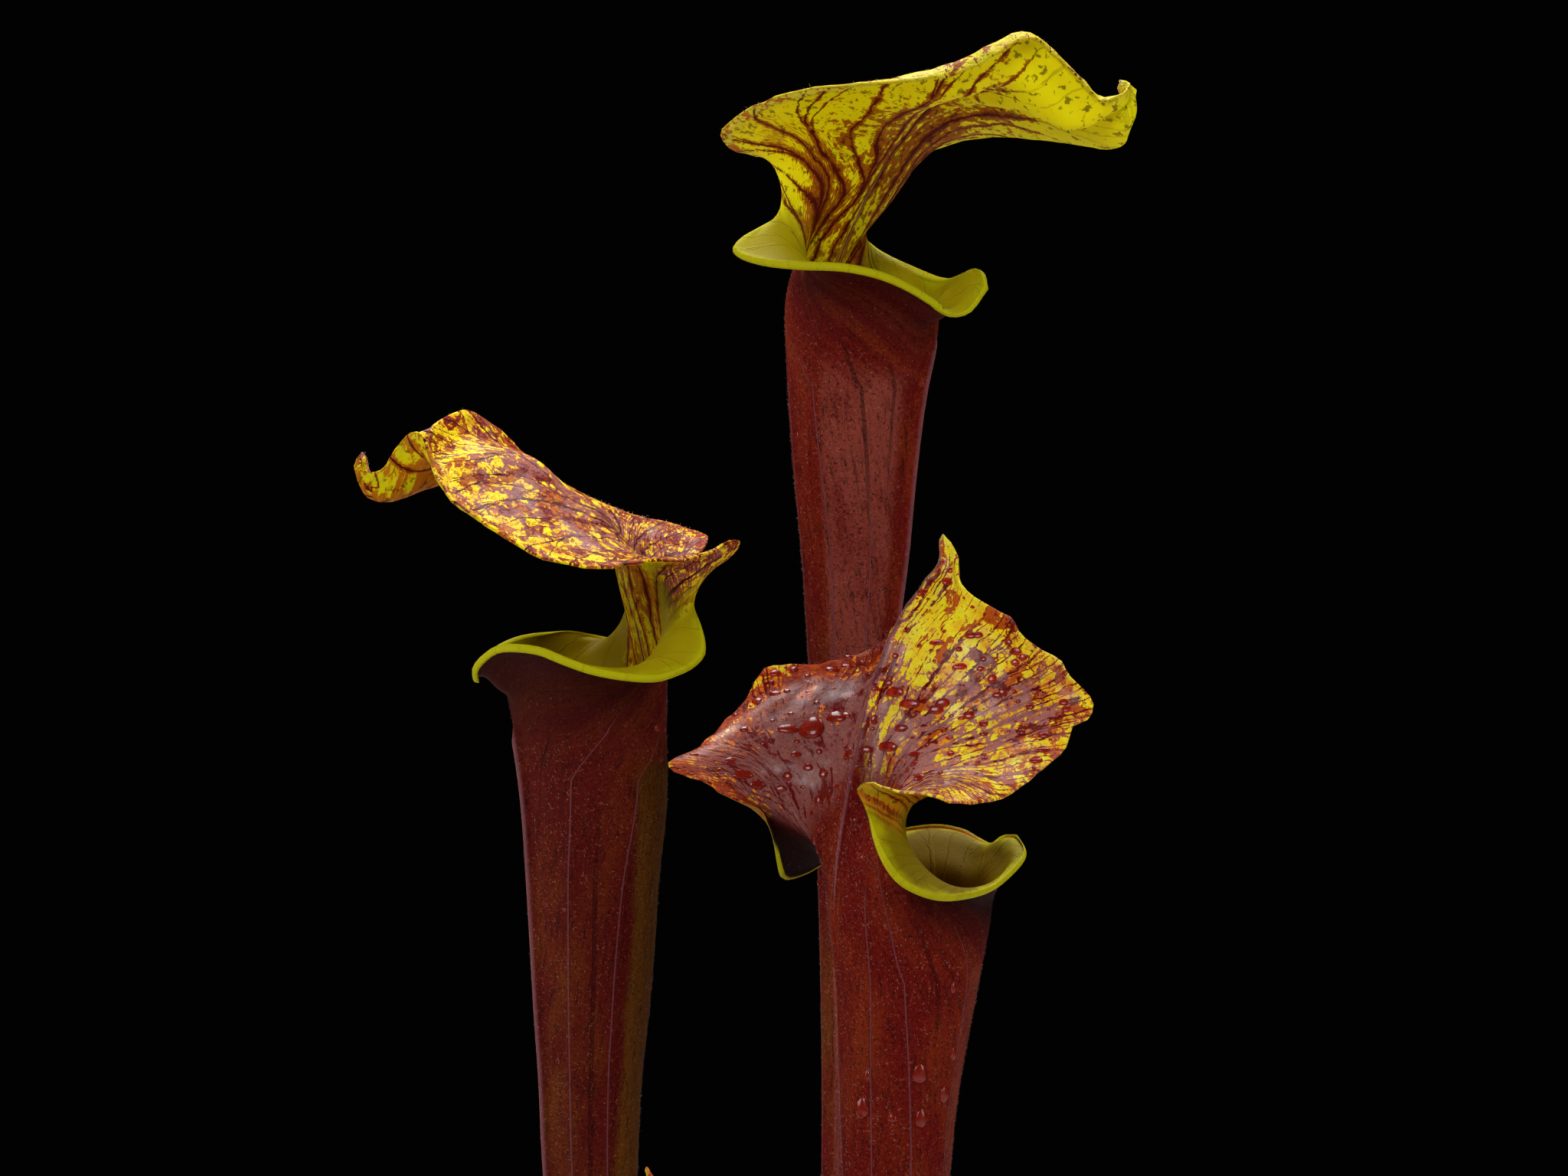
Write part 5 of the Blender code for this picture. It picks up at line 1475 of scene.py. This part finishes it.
peat_steps = [(0.0, True), (0.97 * SOIL_RADIUS, True)]
peat_steps += [(SOIL_RADIUS * k / SOIL_RINGS, False) for k in range(SOIL_RINGS, -1, -1)]
peat = turned_piece("peat", peat_steps, SOIL_TURNS, peat_place)
print("the peat is", round(2 * SOIL_RADIUS), "mm across")

# %% Crumbs and grit
CRUMBS = 2600
# A lump has a point at each end and two rings of five between
LUMP = np.array([
    (0, 0, 1), (0.89, 0, 0.45), (0.28, 0.85, 0.45), (-0.72, 0.53, 0.45), (-0.72, -0.53, 0.45),
    (0.28, -0.85, 0.45), (0.72, 0.53, -0.45), (-0.28, 0.85, -0.45), (-0.89, 0, -0.45), (-0.28, -0.85, -0.45),
    (0.72, -0.53, -0.45), (0, 0, -1)])
LUMP_FACES = np.array([face for i in range(1, 6) for face in (
    (0, i, i % 5 + 1), (i, 5 + i, i % 5 + 1), (i % 5 + 1, 5 + i, 6 + i % 5), (11, 6 + i % 5, 5 + i))])


def in_soil(chance):
    """A random place on the peat that no leaf or stem covers."""
    while True:
        radius, angle = SOIL_RADIUS * 0.985 * math.sqrt(chance.random()), chance.random() * 2 * math.pi
        x, y = radius * math.cos(angle), radius * math.sin(angle)
        if (x / (RHIZOME_HALF_LENGTH + 1)) ** 2 + (y / (RHIZOME_RADIUS + 1)) ** 2 > 1:
            return x, y


def make_crumbs(chance):
    points, faces, pale = [], [], []
    for _ in range(CRUMBS):
        x, y = in_soil(chance)
        grit = chance.random() < 0.07
        size = chance.uniform(0.5, 1.1) if grit else 0.35 + 1.7 * chance.random() ** 3
        stretch = [chance.uniform(0.7, 1.5), chance.uniform(0.6, 1.1), chance.uniform(0.45, 0.9)]
        turn = chance.uniform(0, 2 * math.pi)
        a, b, c = (LUMP * (1 + chance.uniform(-0.22, 0.22, (12, 1))) * stretch * size).T
        cos, sin = math.cos(turn), math.sin(turn)
        shape = np.stack([a * cos - b * sin, a * sin + b * cos, c], 1)
        faces += (len(points) + LUMP_FACES).tolist()
        points += (shape + [x, y, soil_height(x, y) + 0.25 * size]).tolist()
        pale += [1.0 if grit else chance.uniform(0.0, 0.45)] * 12
    thing = new_piece("crumbs_and_grit", points, faces)
    point_values(thing, "pale", pale)
    return thing


# %% Moss cushions
# Middle and radius of each cushion, in millimetres
CUSHIONS = ((-48, 30, 12), (-58, 12, 8), (-40, 43, 8), (38, 44, 13), (52, 29, 9), (56, -16, 12), (47, -34, 8),
            (-22, -52, 13), (-37, -42, 9), (-5, -58, 7), (4, 57, 8), (-8, 18, 9), (24, -20, 8), (-30, 17, 6))
# Rings of a rosette from the outside in: count of leaves, how steep they stand and how long they are
ROSETTE = ((7, 0.15, 1.0), (6, 0.6, 0.8), (4, 1.6, 0.55))
MOSS_FACES = np.array([(0, 1, 2), (0, 2, 3), (1, 4, 2), (2, 4, 3)])


def moss_leaf(root, aim, side, length, width):
    """A pointed, hollow leaf of a moss plant, as four faces."""
    up = np.cross(side, aim)
    middle = root + aim * length * 0.5
    return [root, middle + side * width + up * width * 0.6, middle - up * width * 0.25,
            middle - side * width + up * width * 0.6, root + aim * length + up * length * 0.22]


def make_moss(chance):
    points, faces, fresh = [], [], []
    for cx, cy, wide in CUSHIONS:
        for _ in range(int(1.5 * wide * wide)):
            away, angle = wide * math.sqrt(chance.random()), chance.random() * 2 * math.pi
            x, y = cx + away * math.cos(angle), cy + away * math.sin(angle)
            if math.hypot(x, y) > SOIL_RADIUS - 1.5:
                continue
            swell = wide * 0.42 * (1 - (away / wide) ** 2) + chance.uniform(-0.4, 0.4)
            head = np.array([x, y, soil_height(x, y) + max(swell, 0.2)])
            lean = np.array([math.cos(angle), math.sin(angle), 0]) * away / wide * 0.8
            green, size = chance.uniform(0, 1), chance.uniform(1.1, 1.9)
            for ring, (count, rise, long) in enumerate(ROSETTE):
                for k in range(count):
                    spin = 2 * math.pi * (k + 0.5 * ring) / count + chance.uniform(-0.25, 0.25)
                    aim = unit(np.array([math.cos(spin), math.sin(spin), rise]) + lean)
                    side = np.array([-math.sin(spin), math.cos(spin), 0.0])
                    faces += (len(points) + MOSS_FACES).tolist()
                    points += moss_leaf(head, aim, side, size * long, size * 0.22)
                    fresh += [green * 0.6 + 0.2 * ring] * 5
    thing = new_piece("bog_moss", points, faces)
    point_values(thing, "fresh", fresh)
    return thing


# %% Colours of peat, crumbs and moss
def peat_material():
    material, b, shader, place = new_material("wet_peat", Roughness=0.72)
    cloud = b.fade(b.noise(place, 90.0, 5.0, 0.65), 0.35, 0.68)
    threads = b.fade(b.noise(place, 900.0, 3.0, 0.6, stretch=(1.0, 0.2, 1.0)), 0.58, 0.7)
    colour = b.blend(cloud, paint(38, 27, 20), paint(82, 60, 42))
    b.put(shader.inputs["Base Color"], b.blend(threads * 0.6, colour, paint(126, 96, 66)))
    roughen(b, shader, b.noise(place, 1100.0, 4.0, 0.7), 0.0007)
    return material


def crumb_material():
    material, b, shader, place = new_material("peat_crumb", Roughness=0.85)
    shade = b.read("pale")
    brown = b.blend(shade, paint(44, 31, 22), paint(104, 76, 50))
    grit = b.blend(b.noise(place, 800.0), paint(170, 160, 144), paint(214, 208, 196))
    b.put(shader.inputs["Base Color"], b.blend(b.maths("GREATER_THAN", shade, 0.8), brown, grit))
    return material


def moss_material():
    material, b, shader, place = new_material("moss_green", Roughness=0.6, Subsurface_Weight=0.2,
                                              Subsurface_Scale=0.001)
    tips = b.fade(b.noise(place, 60.0), 0.45, 0.7)
    green = b.blend(b.read("fresh"), paint(58, 74, 26), paint(142, 158, 56))
    b.put(shader.inputs["Base Color"], b.blend(tips * 0.35, green, paint(150, 110, 60)))
    return material


chance = np.random.default_rng(7)
crumbs, moss = make_crumbs(chance), make_moss(chance)
for thing, material in ((peat, peat_material()), (crumbs, crumb_material()), (moss, moss_material())):
    thing.data.materials.append(material)
    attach(thing, "root")
    print(thing.name, len(thing.data.polygons), "faces")
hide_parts("soil")

# %% [markdown]
# ## The short stem
#
# The stem lies half buried, and the leaves stand on it in a row. It is knobbly and ringed by the scars of old
# leaves. Dry brown scales, the bases of leaves that died, still clasp the foot of each pitcher.

# %% A knobbly stem
STEM_SIDES = 96
STEM_RINGS = 150


def stem_place(along, angle):
    """A point of the stem, for a place along it from minus one to one."""
    c, s = math.cos(angle), math.sin(angle)
    swell = 1 + 0.06 * math.sin(along * 21) + 0.03 * math.sin(along * 37 + 1)
    knobs = 0.06 * noise.noise(Vector((along * 9, c * 1.5, s * 1.5)))
    scar = 0.035 * abs(math.sin(along * 60 + 0.8 * s))
    radius = RHIZOME_RADIUS * (1 - abs(along) ** 3.2) ** 0.5 * (swell + knobs - scar)
    return RHIZOME_HALF_LENGTH * along, radius * c, RHIZOME_CENTRE_Z + radius * s


stem_steps = [-math.cos(math.pi * k / STEM_RINGS) for k in range(STEM_RINGS + 1)]
stem = turned_piece("short_stem", stem_steps, STEM_SIDES, stem_place)


# %% Dry scales round the feet
def make_scales(chance):
    """Each scale is a thin pointed shell, bent round the foot of a leaf and flaring at its tip."""
    points, faces = [], []
    across, up = 9, 12
    for name, foot_x in LEAF_FEET_X.items():
        small = name == "small_pitcher"
        count = 4 if small else 6
        for k in range(count):
            facing = 2 * math.pi * k / count + chance.uniform(-0.3, 0.3)
            tall = chance.uniform(9, 17) * (0.7 if small else 1.0)
            half = chance.uniform(0.55, 0.8)
            radius = (YOUNG_FOOT_RADIUS if small else LEAF_FOOT_RADIUS) + 0.9 + 0.35 * (k % 3)
            inner, outer = len(points) + np.arange(2 * up * across).reshape(2, up, across)
            for face, j, i in np.ndindex(2, up, across):
                t, s = j / (up - 1), 2 * i / (across - 1) - 1
                ragged = 0.35 * noise.noise(Vector((s * 3, t * 4, k + foot_x)))
                out = radius + 0.3 * face + 2.2 * t ** 3 + 1.2 * (1 - t) ** 3 + ragged
                angle = facing + s * half * (1 - t ** 2.2) ** 0.6
                points.append((foot_x + out * math.cos(angle), out * math.sin(angle),
                               RHIZOME_CENTRE_Z + 4 + tall * t + 0.8 * ragged))
            # Both faces of the shell, then its four edges, as strips between two lines of points
            strips = [*zip(inner[:-1], inner[1:]), *zip(outer[1:], outer[:-1]), (inner[:, 0], outer[:, 0]),
                      (outer[:, -1], inner[:, -1]), (outer[0], inner[0]), (inner[-1], outer[-1])]
            for one, other in strips:
                faces += np.stack([one[:-1], other[:-1], other[1:], one[1:]], 1).tolist()
    return new_piece("dry_scales", points, faces)


def stem_material(title, dark, light):
    material, b, shader, place = new_material(title, Roughness=0.7)
    bands = b.noise(place, 500.0, 4.0, 0.6, stretch=(1.0, 0.3, 0.3))
    colour = b.blend(b.fade(b.noise(place, 120.0, 4.0, 0.6), 0.35, 0.65), dark, light)
    b.put(shader.inputs["Base Color"], b.blend(b.fade(bands, 0.45, 0.7) * 0.5, colour, dark))
    roughen(b, shader, bands, 0.0006, strength=0.8)
    return material


scales = make_scales(chance)
stem.data.materials.append(stem_material("stem_skin", paint(58, 32, 22), paint(112, 66, 44)))
scales.data.materials.append(stem_material("dry_scale", paint(84, 54, 34), paint(162, 118, 78)))
for thing in (stem, scales):
    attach(thing, "root")
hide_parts("rhizome")
print("stem and scales:", len(stem.data.polygons), "and", len(scales.data.polygons), "faces")

# %% [markdown]
# ## Hairs
#
# The outer skin carries short pale hairs, most of them bent towards the mouth. They catch the light along the
# leaf's edges. Each is a narrow bent blade of two faces, and all the hairs of a leaf are one mesh. Strand
# hair would look the same, but real faces go with the model wherever it is used.

# %% Sow hairs on the outer faces
HAIRS = {"tall_pitcher": 15000, "left_pitcher": 15000, "front_pitcher": 15000, "small_pitcher": 2500}
HAIR_LENGTH = (0.35, 1.0)
HAIR_WIDTH = 0.05


def outer_spots(name, count, chance, keep):
    """Random places on a leaf's outer face, evenly by area: point, normal and direction up the leaf."""
    outer, normal, measures = outer_faces[name]
    lines, rows = outer.shape[:2]
    up = np.diff(outer, axis=1)
    across = (np.roll(outer, -1, axis=0) - outer)[:, :-1]
    area = np.linalg.norm(np.cross(up, across), axis=2)
    u = np.minimum(np.arange(lines), lines - np.arange(lines)) / (lines / 2)
    area = area * keep(np.tile(measures["climb"][:-1], (lines, 1)), np.tile(u[:, None], (1, rows - 1)))
    picked = chance.choice(area.size, size=count, p=(area / area.sum()).ravel())
    spot = np.unravel_index(picked, area.shape)
    s, t = chance.random((2, count, 1))
    return outer[spot] + up[spot] * s + across[spot] * t, normal[spot], unit(up[spot])


def hair_density(climb, u):
    """Few stand on the pot's part of the tube, fewer on the lid, and hardly any in the shade of the lip."""
    in_shade = (climb > 1.25) & (u > 0.5)
    return np.where(climb < 0.55, 0.35, 1.0) * np.where(climb > 1.6, 0.6, 1.0) * np.where(in_shade, 0.1, 1.0)


def make_hairs(name, count, chance):
    base, out, rise = outer_spots(name, count, chance, hair_density)
    side = np.cross(out, rise)
    lean = chance.uniform(0.2, 1.3, (count, 1))
    sway = chance.normal(0, 0.8, (count, 1))
    aim = unit(out + rise * lean + side * sway)
    long = chance.uniform(*HAIR_LENGTH, (count, 1)) * (0.6 if name == "small_pitcher" else 1.0)
    bend = rise * chance.uniform(-0.1, 0.7, (count, 1)) + side * chance.normal(0, 0.4, (count, 1)) - out * 0.35
    half = unit(np.cross(aim, rise + 0.3 * side)) * HAIR_WIDTH / 2
    root, middle, tip = base - out * 0.1, base + aim * long * 0.55, base + aim * long + bend * long * 0.5
    points = np.stack([root - half, root + half, middle + half * 0.7, middle - half * 0.7, tip], 1)
    first = np.arange(count)[:, None] * 5
    faces = (first + [0, 1, 2, 3]).tolist() + (first + [3, 2, 4]).tolist()
    return new_piece(name + "_hairs", points.reshape(-1, 3), faces)


pale_hair, b, shader, place = new_material("pale_hair", Roughness=0.35)
b.put(shader.inputs["Base Color"], b.blend(b.noise(place, 300.0), paint(196, 150, 132), paint(226, 206, 190)))
hair_chance = np.random.default_rng(11)
for name, count in HAIRS.items():
    hairs = make_hairs(name, count, hair_chance)
    hairs.data.materials.append(pale_hair)
    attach(hairs, "root")
    print(hairs.name, len(hairs.data.polygons), "faces")

# %% [markdown]
# ## Dew
#
# Drops sit on the back of the front lid and hang on its tube. A drop is a low dome, drawn out downhill and
# heavier at its lower end. The larger ones have the places that they have in the photograph: a line of sight
# from the camera finds the point of the leaf that each drop sits on. Small ones are strewn by chance.

# %% The drops' places
CAMERA_PLACE = (3.2, -1792.0, 479.3)
CAMERA_LENS = 150.0
CAMERA_SENSOR = 36.0
PICTURE_WIDTH, PICTURE_HEIGHT = 2048, 1536
PIXELS_PER_SLOPE = CAMERA_LENS / CAMERA_SENSOR * PICTURE_WIDTH
# Across and down in the picture, then width and length in millimetres
TUBE_DROPS = ((1126, 1446, 4.4, 6.0), (1201, 1402, 3.8, 5.4), (1203, 1460, 3.2, 5.2), (1165, 1461, 2.4, 2.2),
              (1233, 1429, 2.8, 4.6), (1245, 1376, 1.9, 3.6), (1245, 1290, 1.8, 3.0), (1133, 1405, 2.0, 3.0),
              (1170, 1215, 1.2, 1.8), (1142, 1194, 1.2, 1.6), (1131, 1208, 1.8, 1.0), (1240, 1262, 0.8, 1.2))
LID_DROPS = ((1061, 951, 7.0, 6.4), (1093, 936, 5.6, 4.0), (1030, 952, 6.0, 2.8), (1169, 903, 5.6, 3.0),
             (1187, 919, 6.0, 2.6), (1224, 839, 4.6, 1.8), (1159, 975, 6.2, 2.8), (971, 1011, 5.8, 2.8),
             (990, 1025, 4.4, 2.4), (954, 993, 3.4, 2.0), (1012, 905, 3.4, 1.8), (1108, 985, 2.8, 3.8),
             (1075, 1010, 2.4, 3.2), (1040, 985, 3.0, 1.9), (1195, 985, 4.0, 1.8), (1255, 870, 4.6, 1.8),
             (1068, 1045, 2.0, 2.8), (1142, 940, 2.0, 2.8), (1020, 1030, 3.2, 2.0), (1180, 950, 2.6, 1.6))
LEFT_DROPS = ((858, 950, 2.4, 2.2), (868, 952, 1.6, 1.4), (864, 992, 1.4, 1.2))
SMALLEST_DROP = 0.3
# Leaf, how many, how far past the smallest size they may go, and where they may sit
SMALL_DROPS = (
    ("front_pitcher", 420, 2.4, lambda climb, u: (climb > 1.42) * (u < 0.42) * 1.0),
    ("front_pitcher", 160, 1.3, lambda climb, u: (climb > 0.85) * (climb < 1.5) * 1.0),
    ("left_pitcher", 70, 1.3, lambda climb, u: (climb > 0.6) * 1.0),
    ("tall_pitcher", 60, 1.3, lambda climb, u: (climb > 0.6) * (climb < 1.3) * 1.0))


def seen_drops(name, drops):
    """For each drop, the point and normal of the leaf behind its pixel, and its width and length."""
    mesh = leaves[name].data
    tree = BVHTree.FromPolygons([v.co / MM for v in mesh.vertices], [tuple(p.vertices) for p in mesh.polygons])
    found = []
    for across, down, width, length in drops:
        aim = Vector((across - PICTURE_WIDTH / 2, PIXELS_PER_SLOPE, PICTURE_HEIGHT / 2 - down)).normalized()
        place, out, _, _ = tree.ray_cast(Vector(CAMERA_PLACE), aim)
        if place is not None and out.y < 0:
            found.append((place, out, width, length))
    return found


# %% Domes of water
# Rings of a dome from the foot up: how wide and how high
DOME_LEVELS = ((1.0, -0.12), (1.03, 0.12), (0.96, 0.42), (0.78, 0.72), (0.48, 0.92), (0.18, 0.995))


def dome(place, out, width, length, sides, chance):
    """Points of a drop. Its foot lies just under the skin, and its lower end is fuller."""
    out = np.array(out) / np.linalg.norm(out)
    downhill = np.array([0.0, 0.0, -1.0]) + out * out[2]
    downhill /= max(np.linalg.norm(downhill), 1e-6)
    side, tall = np.cross(out, downhill), 0.2 * min(width, length)
    wobble = chance.uniform(0.85, 1.15, sides)
    wobble = (wobble + np.roll(wobble, 1) + np.roll(wobble, -1))[:, None] / 3
    angle = 2 * math.pi * np.arange(sides)[:, None] / sides
    c, s = np.cos(angle), np.sin(angle)
    place = np.array(place)
    spread = downhill * c * length / 2 * wobble + side * s * (1 + 0.18 * c) * width / 2 * wobble
    rings = [place + spread * wide + out * (tall * high * (1 + 0.25 * c * wide)) for wide, high in DOME_LEVELS]
    return np.concatenate([*rings, [place - out * 0.12 * tall, place + out * tall]])


def make_drops(title, items, sides, chance):
    points, faces = [], []
    for place, out, width, length in items:
        faces += [[len(points) + v for v in face] for face in ring_faces(len(DOME_LEVELS), sides)]
        points += dome(place, out, width, length, sides, chance).tolist()
    return new_piece(title, points, faces)


# %% Place the dew
# A drop is brighter than plain water alone, because a studio has more to mirror than four lamps
water, b, shader, place = new_material(
    "dew", Roughness=0.16, IOR=1.33, Transmission_Weight=0.75, Specular_IOR_Level=0.25, Coat_Weight=0.3,
    Coat_IOR=1.5, Coat_Roughness=0.26)
b.put(shader.inputs["Base Color"], b.blend(b.noise(place, 90.0), paint(190, 30, 16), paint(216, 66, 38)))

dew_chance = np.random.default_rng(23)
large = seen_drops("front_pitcher", TUBE_DROPS + LID_DROPS) + seen_drops("left_pitcher", LEFT_DROPS)
small = []
for name, count, further, keep in SMALL_DROPS:
    base, out, _ = outer_spots(name, count, dew_chance, keep)
    for place, normal in zip(base, out):
        size = SMALLEST_DROP + further * dew_chance.random() ** 3.5
        small.append((place, normal, size * dew_chance.uniform(1.0, 1.6), size))
for title, items, sides in (("dew_drops", large, 22), ("fine_dew", small, 10)):
    drops = make_drops(title, items, sides, dew_chance)
    drops.data.materials.append(water)
    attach(drops, "root")
    print(title, len(items), "drops,", len(drops.data.polygons), "faces")

# %% [markdown]
# ## Floor, light and camera
#
# The plant stands on a plain pale floor. Large soft lights stand above, at the left and at the right, like
# the softboxes of a studio. The upper one also shines through the thin lids, which makes their undersides
# glow.

# %% A pale floor
FLOOR_RADIUS, FLOOR_SIDES, FLOOR_Z = 3000.0, 96, -0.4
turns = np.linspace(0, 2 * math.pi, FLOOR_SIDES, endpoint=False)
edge = [(FLOOR_RADIUS * math.cos(a), FLOOR_RADIUS * math.sin(a), FLOOR_Z) for a in turns]
floor = new_piece("floor", edge, [list(range(FLOOR_SIDES))], smooth=False)
pale_floor, b, shader, place = new_material("pale_floor", Roughness=0.8)
b.put(shader.inputs["Base Color"], b.blend(b.noise(place, 3.0), paint(206, 204, 199), paint(214, 212, 208)))
floor.data.materials.append(pale_floor)

# %% Soft lights and a dark room
bpy.context.scene.view_settings.view_transform = "Standard"

MIDDLE = Vector((0.0, 0.0, 0.45))
# Place and size in metres, and power in watts
LIGHTS = {
    "light_key": ((-0.7, -1.5, 1.25), (0.7, 0.7), 17.0),
    "light_above": ((0.05, 0.35, 1.35), (0.9, 0.7), 18.0),
    "light_right": ((1.3, -0.7, 0.8), (0.5, 0.9), 7.0),
    "light_left": ((-1.4, 0.2, 0.8), (0.5, 0.9), 6.0),
}
for title, (place, size, power) in LIGHTS.items():
    lamp = bpy.data.lights.new(title, "AREA")
    lamp.shape = "RECTANGLE"
    lamp.size, lamp.size_y = size
    lamp.energy = power
    thing = bpy.data.objects.new(title, lamp)
    thing.location = place
    thing.rotation_euler = (MIDDLE - Vector(place)).to_track_quat("-Z", "Y").to_euler()
    bpy.context.scene.collection.objects.link(thing)
world = bpy.data.worlds.new("room")
world.use_nodes = True
world.node_tree.nodes["Background"].inputs["Color"].default_value = (0.0006, 0.0006, 0.0007, 1.0)
bpy.context.scene.world = world
print(len(LIGHTS), "soft lights of", sum(power for _, _, power in LIGHTS.values()), "watts in all")

# %% The camera, level with the middle of the group
camera = bpy.data.cameras.new("camera")
camera.lens = CAMERA_LENS
camera.sensor_width = CAMERA_SENSOR
camera_thing = bpy.data.objects.new("camera", camera)
camera_thing.location = [v * MM for v in CAMERA_PLACE]
camera_thing.rotation_euler = (math.pi / 2, 0.0, 0.0)
bpy.context.scene.collection.objects.link(camera_thing)
bpy.context.scene.camera = camera_thing
